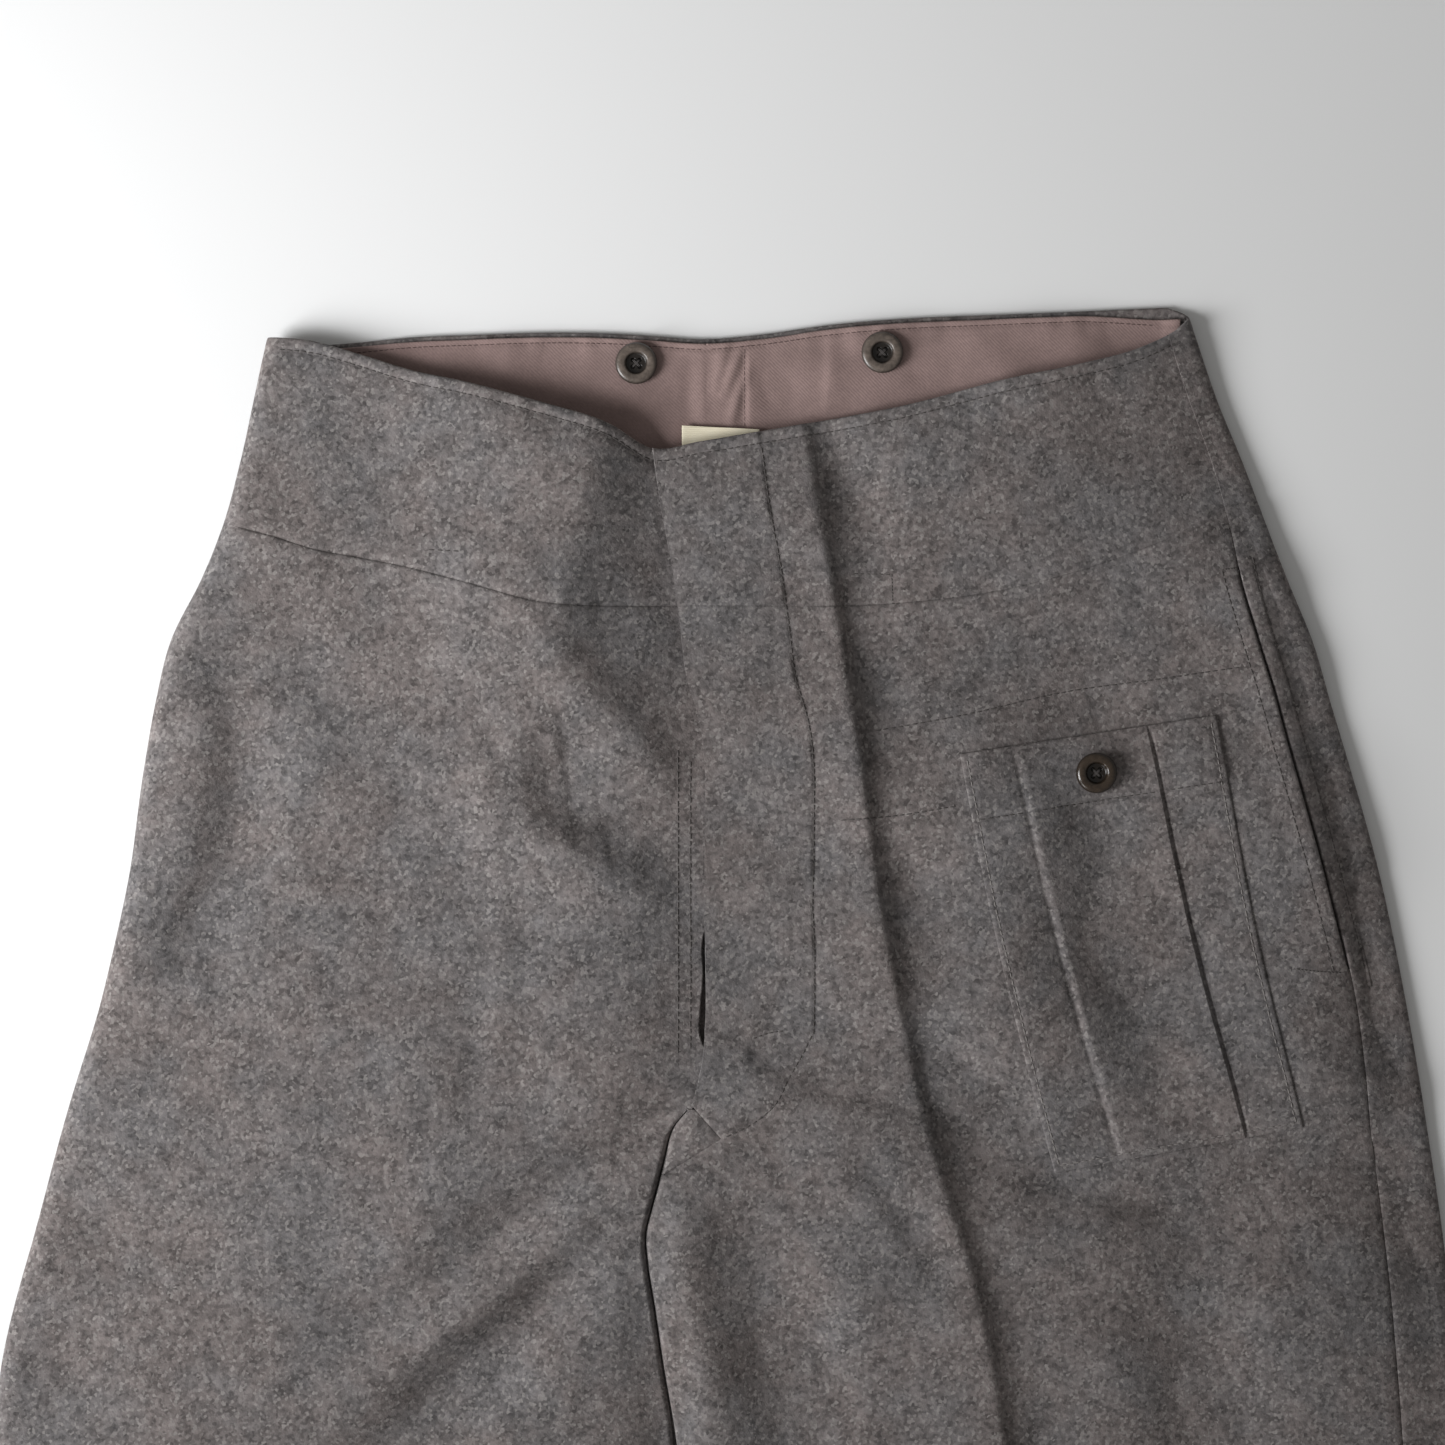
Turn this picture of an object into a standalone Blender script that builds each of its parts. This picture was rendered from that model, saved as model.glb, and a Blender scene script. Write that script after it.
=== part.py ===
"""Wool service trousers with a deep waistband, laid flat on their back.

The pieces are the ones a tailor cuts and sews. Each is a wall of cloth, lofted through rows
that are worked out from the outline of the garment, its seams and its folds.

Lengths in the tables are millimetres. "across" runs to the viewer's right from the middle of
the garment, "down" runs from the top of the waist to the hems, and "up" is the height above
the surface that the trousers lie on. Right and left are the wearer's own.
"""

import math

import bpy
import numpy as np

MM = 0.001

# Driving dimensions
LENGTH = 1080.0
WOOL = 2.0
DRILL = 1.0
FACING = 1.4
LABEL = 0.4
SEAM = 0.3
EDGE_SEAM = 0.8
FORK_GAP = 0.9
LAID_ON = 0.6

ROLL_INNER = 7.0
ROLL_OUTER = 9.0
FORK = 346.0
FORK_START = 344.0
FORK_TIP = 358.6
FORK_END = 374.0
BAND_FADE = 180.0
FLY_STEP = 2.8
FLY_RISE = 3.0
CATCH_WIDTH = 40.0
POCKET_MOUTH = (114.0, 287.0)
POCKET_MOUTH_GAP = 1.4

BUTTON_WIDE = 18.0
BUTTON_THICK = 3.2
POCKET_BUTTON_WIDE = 17.0
POCKET_BUTTON_THICK = 4.2
BRACE_BUTTONS = {"right": (-37.2, 24.5), "left": (69.0, 19.8)}
POCKET_BUTTON = (160.6, 201.2)
LABEL_AT = (-0.8, 60.5)
LABEL_SIZE = (33.0, 20.0)


def table(columns, *rows):
    """A table as a dictionary from each column's name to its values, one a row."""
    return dict(zip(columns.split(), np.array(rows, float).T))


OUTLINE = table(
    "down right left side_seam",
    (0, -193, 200, 189),
    (15, -196.7, 205, 193),
    (41, -202.3, 214, 201.5),
    (67, -207.9, 224.7, 211),
    (92, -214.4, 234.1, 218),
    (118, -224.7, 244, 223.5),
    (144, -237.6, 254.8, 231),
    (170, -244, 262.5, 239),
    (196, -248.8, 270.3, 246),
    (247, -256.1, 284.4, 260),
    (299, -267.7, 295.2, 273),
    (350, -283.2, 303.8, 279),
    (402, -297.3, 311.5, 285.5),
    (454, -310.7, 317, 290),
    (490, -314.5, 320, 293),
    (560, -314, 321, 296),
    (700, -305, 316, 297),
    (850, -293, 306, 290),
    (1000, -282, 296, 281),
    (LENGTH, -277, 292, 278),
)

LEGS = table(
    "down right_inner left_inner",
    (FORK, -20.5, -18.5),
    (366, -26.5, -22.5),
    (388, -33, -29),
    (402, -35.5, -32),
    (424, -35.5, -31.5),
    (434, -33.5, -29),
    (490, -27, -20.5),
    (560, -23, -8),
    (700, -28, 14),
    (850, -38, 32),
    (1000, -47, 48),
    (LENGTH, -51, 54),
)

FLY = table(
    "down edge under",
    (55, -31.5, -26),
    (89, -26.9, -21.5),
    (110, -23, -17.5),
    (137, -19.1, -13.5),
    (162, -15.7, -10),
    (176, -11.5, -6),
    (234, -8.4, -3),
    (262, -8.8, -5.5),
    (275, -8.0, -11.2),
    (312, -8.0, -11.2),
    (326, -9.5, -6.5),
    (338, -12, -13.6),
    (FORK, -13.5, -18.6),
)

FORK_SEAM = table(
    "down across",
    (FORK_START, -13.5),
    (FORK_TIP, -0.6),
    (FORK_END, -19.5),
)

CREASE = table(
    "down left right",
    (50, 35, -106),
    (100, 43.6, -106),
    (147, 53.5, -106),
    (191, 60.4, -104),
    (247, 68.6, -96),
    (286, 75.5, -93),
    (319, 82.8, -97),
    (349, 90.5, -109),
    (382, 100.4, -128),
    (415, 112.9, -143),
    (490, 125, -153),
    (600, 134, -161),
    (800, 149, -163),
    (LENGTH, 173, -164),
)

BAND = table(
    "across front_top seam back_top back_seam",
    (-230, 14, 88, 17, 88),
    (-208, 13.6, 95.5, 17, 95.5),
    (-193, 13.2, 99.5, 17, 96),
    (-177.4, 14.6, 104.5, 16.6, 96.4),
    (-155.9, 20.7, 108.6, 15, 96.8),
    (-134.4, 27.4, 113, 13, 97),
    (-109.4, 33, 119.5, 12, 97),
    (-78.5, 41.3, 127.7, 11, 97),
    (-47.5, 51.4, 129.5, 11.4, 97),
    (-30.3, 61, 129.4, 12.4, 97),
    (-9.7, 58.2, 129.4, 13.8, 97),
    (16.1, 53.8, 129.4, 11.8, 97),
    (46.2, 48.6, 129.4, 7.6, 97),
    (76.3, 43, 128, 5, 97),
    (119.3, 32, 122.6, 3.2, 96.6),
    (153.7, 24.8, 114, 1.8, 95.5),
    (180, 18.4, 105, 0.6, 93.5),
    (196.7, 12.2, 97, 0, 91.5),
    (212, 9, 88, 3, 88),
    (240, 9, 83, 5, 83),
)

DEPTH = table(
    "down height",
    (0, 9.6),
    (60, 10.4),
    (300, 10.4),
    (490, 10),
    (LENGTH, 9.4),
)

STEP = table(
    "down rise",
    (40, 0.6),
    (130, 1),
    (330, 1),
    (400, 0.8),
    (490, 0.55),
    (700, 0.3),
    (LENGTH, 0.2),
)

# One row for each fold: rise (a trough is negative), half width, and the path it takes
FOLDS = {
    "trough beside the fly": (-4.2, 10, [(-44, 52), (-50, 90), (-57, 122), (-62, 146)]),
    "trough turning to the fly": (-3.6, 8, [(-62, 146), (-58, 158), (-46, 167), (-32, 184), (-25, 199)]),
    "ridge outside that trough": (3.4, 13, [(-66, 50), (-74, 90), (-82, 122), (-86, 150), (-74, 176)]),
    "second trough to the fly": (-2.6, 8, [(-85, 193), (-84, 214), (-76, 227), (-53, 237), (-28, 256)]),
    "ridge between the two": (2.2, 11, [(-62, 186), (-50, 204), (-32, 222)]),
    "dimple of the right hip": (-2, 8, [(-105, 176), (-104, 198)]),
    "trough of the right hip": (-2.6, 13, [(-187, 124), (-181, 153), (-177, 180)]),
    "trough along the right edge": (-2.4, 9, [(-224, 153), (-213, 190), (-214, 230), (-225, 265), (-240, 303)]),
    "pressed crease, right": (1.4, 6, [(-106, 120), (-105, 183), (-96, 247), (-94, 299), (-109, 346)]),
    "fork trough, right": (-4.4, 8, [(-33, 345), (-53, 355), (-79, 372), (-104, 391), (-148, 428)]),
    "fork ridge, right": (4, 12, [(-44, 362), (-70, 381), (-104, 411), (-150, 464)]),
    "lower fork trough, right": (-3, 10, [(-55, 394), (-70, 419), (-92, 449), (-139, 492)]),
    "outer trough, right thigh": (-2, 11, [(-250, 421), (-300, 462)]),
    "inner trough, left thigh": (-3, 9, [(-2, 392), (3, 428), (20, 471), (38, 520)]),
    "trough below the fly": (-2, 8, [(25, 331), (46, 338), (76, 342), (122, 350)]),
    "thin trough beside the crease": (-1.4, 5, [(66, 374), (83, 398), (97, 426)]),
    "trough under the dressing pocket": (-2, 12, [(196, 384), (214, 430), (216, 470)]),
    "right thigh ridge": (2.2, 16, [(-230, 480), (-205, 560), (-196, 640)]),
    "right knee trough": (-2, 10, [(-60, 640), (-110, 662), (-150, 668)]),
    "right knee ridge": (1.8, 11, [(-270, 690), (-215, 704), (-180, 700)]),
    "left knee trough": (-2.2, 10, [(40, 610), (90, 640), (120, 646)]),
    "left knee ridge": (2, 12, [(180, 660), (230, 690), (290, 698)]),
    "right shin trough": (-1.6, 12, [(-225, 800), (-200, 860), (-198, 930)]),
    "left shin trough": (-1.6, 12, [(215, 780), (205, 850), (215, 930)]),
}

COLOURS = {
    "wool": (0.118, 0.112, 0.115, 1),
    "drill": (0.165, 0.118, 0.122, 1),
    "label": (0.62, 0.57, 0.46, 1),
    "button": (0.022, 0.018, 0.016, 1),
}


def read(rows, column, at, key="down"):
    """The column's value, on a smooth cubic through the rows."""
    spots, values = rows[key], rows[column]
    slopes = np.gradient(values, spots)
    at = np.clip(at, spots[0], spots[-1])
    i = np.clip(np.searchsorted(spots, at) - 1, 0, len(spots) - 2)
    step = spots[i + 1] - spots[i]
    t = (at - spots[i]) / step
    return (
        values[i] * (1 + 2 * t) * (1 - t) ** 2
        + values[i + 1] * t * t * (3 - 2 * t)
        + step * slopes[i] * t * (1 - t) ** 2
        - step * slopes[i + 1] * t * t * (1 - t)
    )


def straight(rows, column, at, key="down"):
    """The column's value, on straight lines from row to row."""
    return np.interp(at, rows[key], rows[column])


def ease(value):
    """0 below 0, 1 above 1, and a smooth rise between."""
    t = np.clip(value, 0, 1)
    return t * t * (3 - 2 * t)


def fold_height(across, down):
    """The sum of the folds: each falls off as a bell with the distance from its path, and at its ends."""
    total = np.zeros(np.broadcast(across, down).shape)
    for rise, half_width, path in FOLDS.values():
        points = np.array(path, float)
        runs = np.linalg.norm(np.diff(points, axis=0), axis=1)
        whole, gone = runs.sum(), 0.0
        nearest = np.full(total.shape, np.inf)
        place = np.zeros(total.shape)
        for (x, y), (to_x, to_y), run in zip(points[:-1], points[1:], runs):
            t = ((across - x) * (to_x - x) + (down - y) * (to_y - y)) / run**2
            t = np.clip(t, 0, 1)
            away = np.hypot(across - x - t * (to_x - x), down - y - t * (to_y - y))
            place = np.where(away < nearest, (gone + t * run) / whole, place)
            nearest = np.minimum(nearest, away)
            gone += run
        ends = 0.35 + 0.65 * np.sin(np.pi * place) ** 0.6
        total += rise * ends * np.exp(-0.5 * (nearest / half_width) ** 2)
    return total


def front_height(across, down):
    """How far the outside of the front stands above the surface, before the fly is lapped over."""
    height = read(DEPTH, "height", down) + fold_height(across, down)
    below_top = down - read(BAND, "front_top", across, "across")
    slack = 4.5 * ease((across + 185) / 50) * ease((-28 - across) / 30)
    slack = slack + 2 * ease((across - 20) / 50) * ease((190 - across) / 60)
    height = height + slack * np.exp(-np.maximum(below_top, 0) / 22)
    return np.maximum(height, 7.4)


def left_front_height(across, down):
    """The left front laps over the fly, then stands as a plateau as far as its pressed crease."""
    edge = read(FLY, "edge", down)
    crease = read(CREASE, "left", down)
    lap = np.where(down < FORK, FLY_STEP + FLY_RISE * ease((across - edge) / 14), FLY_STEP + FLY_RISE)
    step = lap * read(STEP, "rise", down) * (1 - ease((across - crease + 3) / 13))
    lap_edge = FLY_STEP * (down < FORK) * (1 - ease((across - edge) / 10))
    step = np.maximum(step, lap_edge)
    mouth = ease((down - POCKET_MOUTH[0]) / 25) * ease((POCKET_MOUTH[1] - down) / 25)
    lip = 1.3 * mouth * ease(1 - (read(OUTLINE, "side_seam", down) - across) / 14)
    return front_height(across, down) + step + lip


def placed(across, down, up):
    """Points in metres, with the middle of the garment's box at the origin."""
    middle = (OUTLINE["right"].min() + OUTLINE["left"].max()) / 2
    return np.stack(
        [(across - middle) * MM, (LENGTH / 2 - down) * MM, up * MM + 0 * across], axis=-1
    )


def material(name, roughness):
    found = bpy.data.materials.get(name) or bpy.data.materials.new(name)
    found.use_nodes = True
    found.diffuse_color = COLOURS[name]
    shader = found.node_tree.nodes["Principled BSDF"]
    shader.inputs["Base Color"].default_value = COLOURS[name]
    shader.inputs["Roughness"].default_value = roughness
    shader.inputs["Metallic"].default_value = 0
    return found


def keep(obj, colour, roughness):
    obj.data.materials.append(material(colour, roughness))
    PIECES.objects.link(obj)
    return obj


def loft(name, points, wall, colour="wool", flip=False, roughness=0.95):
    """A wall of cloth behind a surface, which runs through rows of points."""
    rows, columns = points.shape[:2]
    corner = np.arange((rows - 1) * columns).reshape(rows - 1, columns)[:, :-1].ravel()
    faces = np.stack([corner, corner + 1, corner + columns + 1, corner + columns], axis=1)
    if flip:
        faces = faces[:, ::-1]
    mesh = bpy.data.meshes.new(name)
    mesh.from_pydata(points.reshape(-1, 3).tolist(), [], faces.tolist())
    mesh.shade_smooth()
    obj = bpy.data.objects.new(name, mesh)
    solid = obj.modifiers.new("cloth wall", "SOLIDIFY")
    solid.thickness = wall * MM
    solid.offset = -1
    solid.use_even_offset = False
    return keep(obj, colour, roughness)


def rows_between(*stops):
    """Places down the garment: (from, to, count), ... with the last end kept."""
    runs = [np.linspace(start, end, count, endpoint=False) for start, end, count in stops]
    return np.concatenate([*runs, [stops[-1][1]]])


def settle(across_of, down_of, shape):
    """The point of each row and column, where a row's place down depends on the place across."""
    down = np.zeros(shape) + 200.0
    for _ in range(6):
        down = down_of(across_of(down))
    return across_of(down), down


# Round an edge, from its seam at half height to the flat. The first step is short, because the
# wall's rim is square to it.
ANGLES = np.radians([0, 2, 20, 52, 90])


def outer_roll(side, down):
    """How far in from its outline the outer edge starts to turn down."""
    if side == "right":
        return ROLL_OUTER + 0 * down
    beyond = read(OUTLINE, "left", down) - read(OUTLINE, "side_seam", down)
    return np.minimum(ROLL_OUTER, 0.7 * beyond)


def front(side, name, down_of, rows, top_columns, fork=FORK):
    """A front or a front band, from the fly or inner leg over the top to the side seam."""
    way = -1 if side == "right" else 1
    height = front_height if side == "right" else left_front_height
    turned = np.sin(ANGLES)
    share = np.linspace(0, 1, top_columns)[1:]
    if side == "right":
        column = np.concatenate([np.arange(len(ANGLES)), np.full(len(share) + len(ANGLES) - 1, 9)])
    else:
        column = np.concatenate([np.arange(len(ANGLES)), np.full(len(share), 9)])
    columns = len(column)
    shape = (rows, columns)

    def edges(down):
        leg = read(LEGS, side + "_inner", down)
        lapped = read(FLY, "under" if side == "right" else "edge", down)
        inner = np.where(down < FORK, lapped, leg)
        if side == "left":
            seam = straight(FORK_SEAM, "across", down) + SEAM / 2
            inner = np.where((down >= FORK_START) & (down <= FORK_END), seam, inner)
            outer = read(OUTLINE, "side_seam", down) - SEAM / 2
            opened = (down > POCKET_MOUTH[0]) & (down < POCKET_MOUTH[1])
            outer = outer - opened * POCKET_MOUTH_GAP / 2
        else:
            outer = read(OUTLINE, "right", down) + outer_roll(side, down)
        return inner, outer

    def across_of(down):
        inner, outer = edges(down)
        start = inner + way * ROLL_INNER
        across = np.empty(shape)
        roll = ease((down - fork) / 10)
        for k in range(len(ANGLES)):
            flat = inner[:, k] + way * ROLL_INNER * k / (len(ANGLES) - 1)
            round_edge = start[:, k] - way * ROLL_INNER * math.cos(ANGLES[k])
            across[:, k] = flat + (round_edge - flat) * roll[:, k]
        for n, part in enumerate(share):
            k = len(ANGLES) + n
            across[:, k] = start[:, k] + (outer[:, k] - start[:, k]) * part
        for n in range(len(ANGLES) - 1) if side == "right" else ():
            k = len(ANGLES) + len(share) + n
            across[:, k] = outer[:, k] - outer_roll(side, down[:, k]) * math.cos(ANGLES[-2 - n])
        return across

    across, down = settle(across_of, down_of, shape)
    up = height(across, down)
    inner, outer = edges(down)
    roll = ease((down - fork) / 10)
    for k in range(len(ANGLES)):
        top = height(inner[:, k] + way * ROLL_INNER, down[:, k])
        half = top / 2
        clear = EDGE_SEAM / 2 + FORK_GAP * (1 - ease((down[:, k] - fork) / 50))
        rounded = half + clear + (half - clear) * turned[k]
        up[:, k] += (rounded - up[:, k]) * roll[:, k]
    for n in range(len(ANGLES) - 1) if side == "right" else ():
        k = len(ANGLES) + len(share) + n
        half = height(outer[:, k], down[:, k]) / 2
        up[:, k] = half + EDGE_SEAM / 2 + (half - EDGE_SEAM / 2) * math.sin(ANGLES[-2 - n])
    loft(name, placed(across, down, up), WOOL, flip=side == "left")


def back(side, name, down_of, rows, bottom_columns):
    """A back or a back band: down round the outer edge, flat below, up at the inner leg."""
    way = -1 if side == "right" else 1
    height = front_height if side == "right" else left_front_height
    share = np.linspace(0, 1, bottom_columns)[1:]
    over = 0 if side == "right" else 3 + len(ANGLES) - 1
    columns = over + len(ANGLES) + len(share) + len(ANGLES) - 1
    shape = (rows, columns)

    def edges(down):
        outer = read(OUTLINE, side, down) - way * outer_roll(side, down)
        centre = np.interp(down, [0, 95, FORK], [-2.5, -3, -19.5]) + way * SEAM / 2
        inner = np.where(down < FORK, centre, read(LEGS, side + "_inner", down))
        return inner, outer

    def lay(down):
        inner, outer = edges(down)
        across, up = np.empty(shape), np.zeros(shape)
        half = height(outer, down) / 2
        width = outer_roll(side, down)
        roll = ease((down - FORK) / 10)
        if side == "left":
            seam = read(OUTLINE, "side_seam", down) + SEAM / 2
            opened = (down > POCKET_MOUTH[0]) & (down < POCKET_MOUTH[1])
            seam = seam + opened * POCKET_MOUTH_GAP / 2
            for k in range(3):
                across[:, k] = seam[:, k] + (outer[:, k] - seam[:, k]) * k / 3
                up[:, k] = front_height(across[:, k], down[:, k])
            for n in range(len(ANGLES) - 1):
                k = 3 + n
                turn = math.pi / 2 * (1 - n / (len(ANGLES) - 1))
                across[:, k] = outer[:, k] + width[:, k] * math.cos(turn)
                up[:, k] = half[:, k] * (1 + math.sin(turn))
        even = np.linspace(0, math.pi / 2, len(ANGLES))
        for n, angle in enumerate(ANGLES if side == "right" else even):
            k = over + n
            across[:, k] = outer[:, k] + way * width[:, k] * math.cos(angle)
            below = half[:, k] - (EDGE_SEAM / 2 if side == "right" else 0)
            up[:, k] = below * (1 - math.sin(angle))
        start = inner + way * ROLL_INNER
        for n, part in enumerate(share):
            k = over + len(ANGLES) + n
            across[:, k] = outer[:, k] + (start[:, k] - outer[:, k]) * part
        for n, angle in enumerate(ANGLES[-2::-1]):
            k = over + len(ANGLES) + len(share) + n
            flat = start[:, k] - way * ROLL_INNER * (n + 1) / (len(ANGLES) - 1)
            round_edge = start[:, k] - way * ROLL_INNER * math.cos(angle)
            across[:, k] = flat + (round_edge - flat) * roll[:, k]
            clear = EDGE_SEAM / 2 + FORK_GAP * (1 - ease((down[:, k] - FORK) / 50))
            inner_half = height(start[:, k], down[:, k]) / 2 - clear
            up[:, k] = inner_half * (1 - math.sin(angle)) * roll[:, k]
        return across, up

    across, down = settle(lambda down: lay(down)[0], down_of, shape)
    loft(name, placed(across, down, lay(down)[1]), WOOL, flip=side == "left")


def body_rows(start, stops, seam_name="seam"):
    """Rows of a front or back: from the band seam, which isn't level, to level rows lower down."""
    shares = np.linspace(0, 1, start, endpoint=False)[:, None]
    level = rows_between(*stops)[:, None]

    def down_of(across):
        seam = read(BAND, seam_name, across, "across") + SEAM / 2
        return np.concatenate(
            [seam[:start] + (BAND_FADE - seam[:start]) * shares, level + 0 * across[start:]]
        )

    return down_of, start + len(level)


def band_rows(top, count, seam_name="seam"):
    """Rows of a band, from its top edge to the seam with the leg."""
    shares = np.linspace(0, 1, count)[:, None]

    def down_of(across):
        upper = read(BAND, top, across, "across")
        return upper + (read(BAND, seam_name, across, "across") - SEAM / 2 - upper) * shares

    return down_of, count


def fly_underlap():
    """The strip that carries the fly buttons, under the edges of both fronts."""
    down = rows_between((70, 334, 22))[:, None]
    inner = read(FLY, "edge", down)
    across = inner + np.array([-9, 0, 10, CATCH_WIDTH / 2, CATCH_WIDTH])
    up = np.maximum(front_height(across, down) - WOOL - LAID_ON - SEAM, 5.8)
    loft("fly_underlap", placed(across, down + 0 * across, up), WOOL, flip=True)


def fork_piece():
    """The small piece at the crotch, between the fly, the left front and the inner leg."""
    down = rows_between((FORK, FORK_TIP, 3), (FORK_TIP, FORK_END - 1.4, 3))[:, None]
    inner = read(LEGS, "left_inner", down)
    seam = straight(FORK_SEAM, "across", down) - FORK_GAP
    width = seam - inner
    roll = np.minimum(ROLL_INNER, width * 0.6)
    around = inner + roll * (1 - np.cos(ANGLES))
    beyond = inner + roll + (width - roll) * np.array([0.5, 1])
    across = np.concatenate([around, beyond], axis=1)
    top = left_front_height(across, down)
    half = left_front_height(inner + ROLL_INNER, down) / 2 + EDGE_SEAM / 2
    last = len(ANGLES) - 1
    rounded = half + (top[:, last : last + 1] - half) * np.sin(ANGLES)
    up = np.concatenate([rounded, top[:, last + 1 :]], axis=1)
    loft("fork_piece", placed(across, down + 0 * across, up), WOOL, flip=True)


def pocket_rise(across_share, down_share):
    """The box pleat: a loose panel between two folded edges, held down at its top and bottom."""
    left = 0.218 + 0.056 * down_share
    right = 0.735 + 0.039 * down_share
    centre = (left + right) / 2
    held = np.interp(down_share, [0, 0.12, 0.35, 0.7, 1], [0.5, 1.2, 3.4, 4.4, 1.4])
    inside = ease((across_share - left) / 0.05 + 0.3) * ease((right - across_share) / 0.03 + 0.3)
    trough = 0.5 * np.exp(-(((across_share - centre) / 0.1) ** 2)) * ease(down_share / 0.3)
    return held * inside * (1 - trough)


def pocket_outside(across, down):
    """The height of the dressing pocket's own cloth above the surface."""
    return left_front_height(across, down) + LAID_ON + WOOL


def pocket_point(across_share, down_share):
    """Across and down at a share of the dressing pocket's width and height."""
    corners = np.array([[(102.1, 193.9), (212.6, 177.2)], [(143.4, 373.7), (250, 353.9)]])
    top = corners[0, 0] + (corners[0, 1] - corners[0, 0]) * across_share[..., None]
    bottom = corners[1, 0] + (corners[1, 1] - corners[1, 0]) * across_share[..., None]
    point = top + (bottom - top) * down_share[..., None]
    bow = -2.6 * np.sin(np.pi * down_share)
    return point[..., 0] + bow, point[..., 1]


def dressing_pocket():
    """A patch with a box pleat. Its inside is plain and lies on the left front."""
    stops = (0, 0.1, 0.19, 0.22, 0.25, 0.3, 0.4, 0.5, 0.6, 0.68, 0.735, 0.76, 0.79, 0.87, 1)
    across_share, down_share = np.meshgrid(stops, np.linspace(0, 1, 13))
    across, down = pocket_point(across_share, down_share)
    under = left_front_height(across, down) + LAID_ON
    outside = under + WOOL + pocket_rise(across_share, down_share)
    rows, columns = across.shape
    top = placed(across, down, outside).reshape(-1, 3)
    bottom = placed(across, down, under).reshape(-1, 3)
    corner = np.arange((rows - 1) * columns).reshape(rows - 1, columns)[:, :-1].ravel()
    quads = np.stack([corner, corner + columns, corner + columns + 1, corner + 1], axis=1)
    count = rows * columns
    ids = np.arange(count).reshape(rows, columns)
    rim = np.concatenate([ids[:-1, 0], ids[-1, :-1], ids[:0:-1, -1], ids[0, :0:-1]])
    onward = np.roll(rim, -1)
    sides = np.stack([rim, rim + count, onward + count, onward], axis=1)
    faces = np.concatenate([quads, (quads + count)[:, ::-1], sides])
    mesh = bpy.data.meshes.new("dressing_pocket")
    mesh.from_pydata(np.concatenate([top, bottom]).tolist(), [], faces.tolist())
    mesh.shade_smooth()
    keep(bpy.data.objects.new("dressing_pocket", mesh), "wool", 0.95)


def side_pocket_facing():
    """The strip of cloth that shows in the mouth of the left side pocket."""
    down = rows_between((POCKET_MOUTH[0] - 4, POCKET_MOUTH[1] + 6, 12))[:, None]
    across = read(OUTLINE, "side_seam", down) + np.array([-20, -10, -1, 4, 8])
    up = front_height(across, down) - WOOL - LAID_ON
    loft("side_pocket_facing", placed(across, down + 0 * across, up), FACING, flip=True)


def back_lining(side):
    """Half of the drill lining, which shows inside the back of the waist."""
    ends = (-7, -183) if side == "right" else (-7 + SEAM, 188)
    across = np.linspace(*ends, 10)[None, :] + np.zeros((5, 1))
    top = read(BAND, "back_top", across, "across") + 2.6
    down = top + (90 - top) * np.linspace(0, 1, 5)[:, None]
    up = np.full(across.shape, WOOL + SEAM + DRILL)
    loft("back_lining_" + side, placed(across, down, up), DRILL, "drill", side == "left", 0.8)


def size_label():
    """A blank cotton label, half under the front band."""
    across = LABEL_AT[0] + LABEL_SIZE[0] * np.array([[-0.5, 0, 0.5]])
    down = LABEL_AT[1] + LABEL_SIZE[1] * np.array([[-0.5], [0], [0.5]])
    tilt = 0.09 * (across - LABEL_AT[0])
    across, down = np.broadcast_arrays(across, down - tilt)
    up = np.full(across.shape, WOOL + 2 * SEAM + DRILL + LABEL)
    loft("size_label", placed(across, down, up), LABEL, "label", True, 0.8)


def button(name, across, down, up, wide, thick):
    """A turned button with a raised rim round a dished middle."""
    radius = wide / 2
    profile = (
        (0, thick * 0.62),
        (radius * 0.5, thick * 0.62),
        (radius * 0.66, thick * 0.95),
        (radius * 0.84, thick),
        (radius * 0.97, thick * 0.76),
        (radius, thick * 0.4),
        (radius * 0.8, 0),
        (0, 0),
    )
    mesh = bpy.data.meshes.new(name)
    mesh.from_pydata(
        [(x * MM, 0, z * MM) for x, z in profile], [(i, i + 1) for i in range(len(profile) - 1)], []
    )
    obj = bpy.data.objects.new(name, mesh)
    turn = obj.modifiers.new("turned", "SCREW")
    turn.steps = turn.render_steps = 20
    turn.use_merge_vertices = True
    turn.merge_threshold = 0.00001
    turn.use_smooth_shade = True
    obj.location = placed(np.array(across), np.array(down), np.array(up))
    keep(obj, "button", 0.3)


TOP_COLUMNS = 17
BELOW_COLUMNS = 5

for old in list(bpy.data.objects):
    bpy.data.objects.remove(old)
PIECES = bpy.data.collections.new("service_trousers")
bpy.context.scene.collection.children.link(PIECES)

LEG_STOPS = (
    (BAND_FADE, FORK_START, 12),
    (FORK_START, FORK_TIP, 2),
    (FORK_TIP, FORK_END, 2),
    (FORK_END, 490, 8),
    (490, LENGTH, 9),
)
for wearer in ("right", "left"):
    fork = FORK if wearer == "right" else FORK_END
    front(wearer, wearer + "_front", *body_rows(4, LEG_STOPS), TOP_COLUMNS, fork)
    front(wearer, wearer + "_front_band", *band_rows("front_top", 6), TOP_COLUMNS)
    back(wearer, wearer + "_back", *body_rows(4, LEG_STOPS, "back_seam"), BELOW_COLUMNS)
    back(wearer, wearer + "_back_band", *band_rows("back_top", 5, "back_seam"), BELOW_COLUMNS)
    back_lining(wearer)

fly_underlap()
fork_piece()
dressing_pocket()
side_pocket_facing()
size_label()

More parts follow.
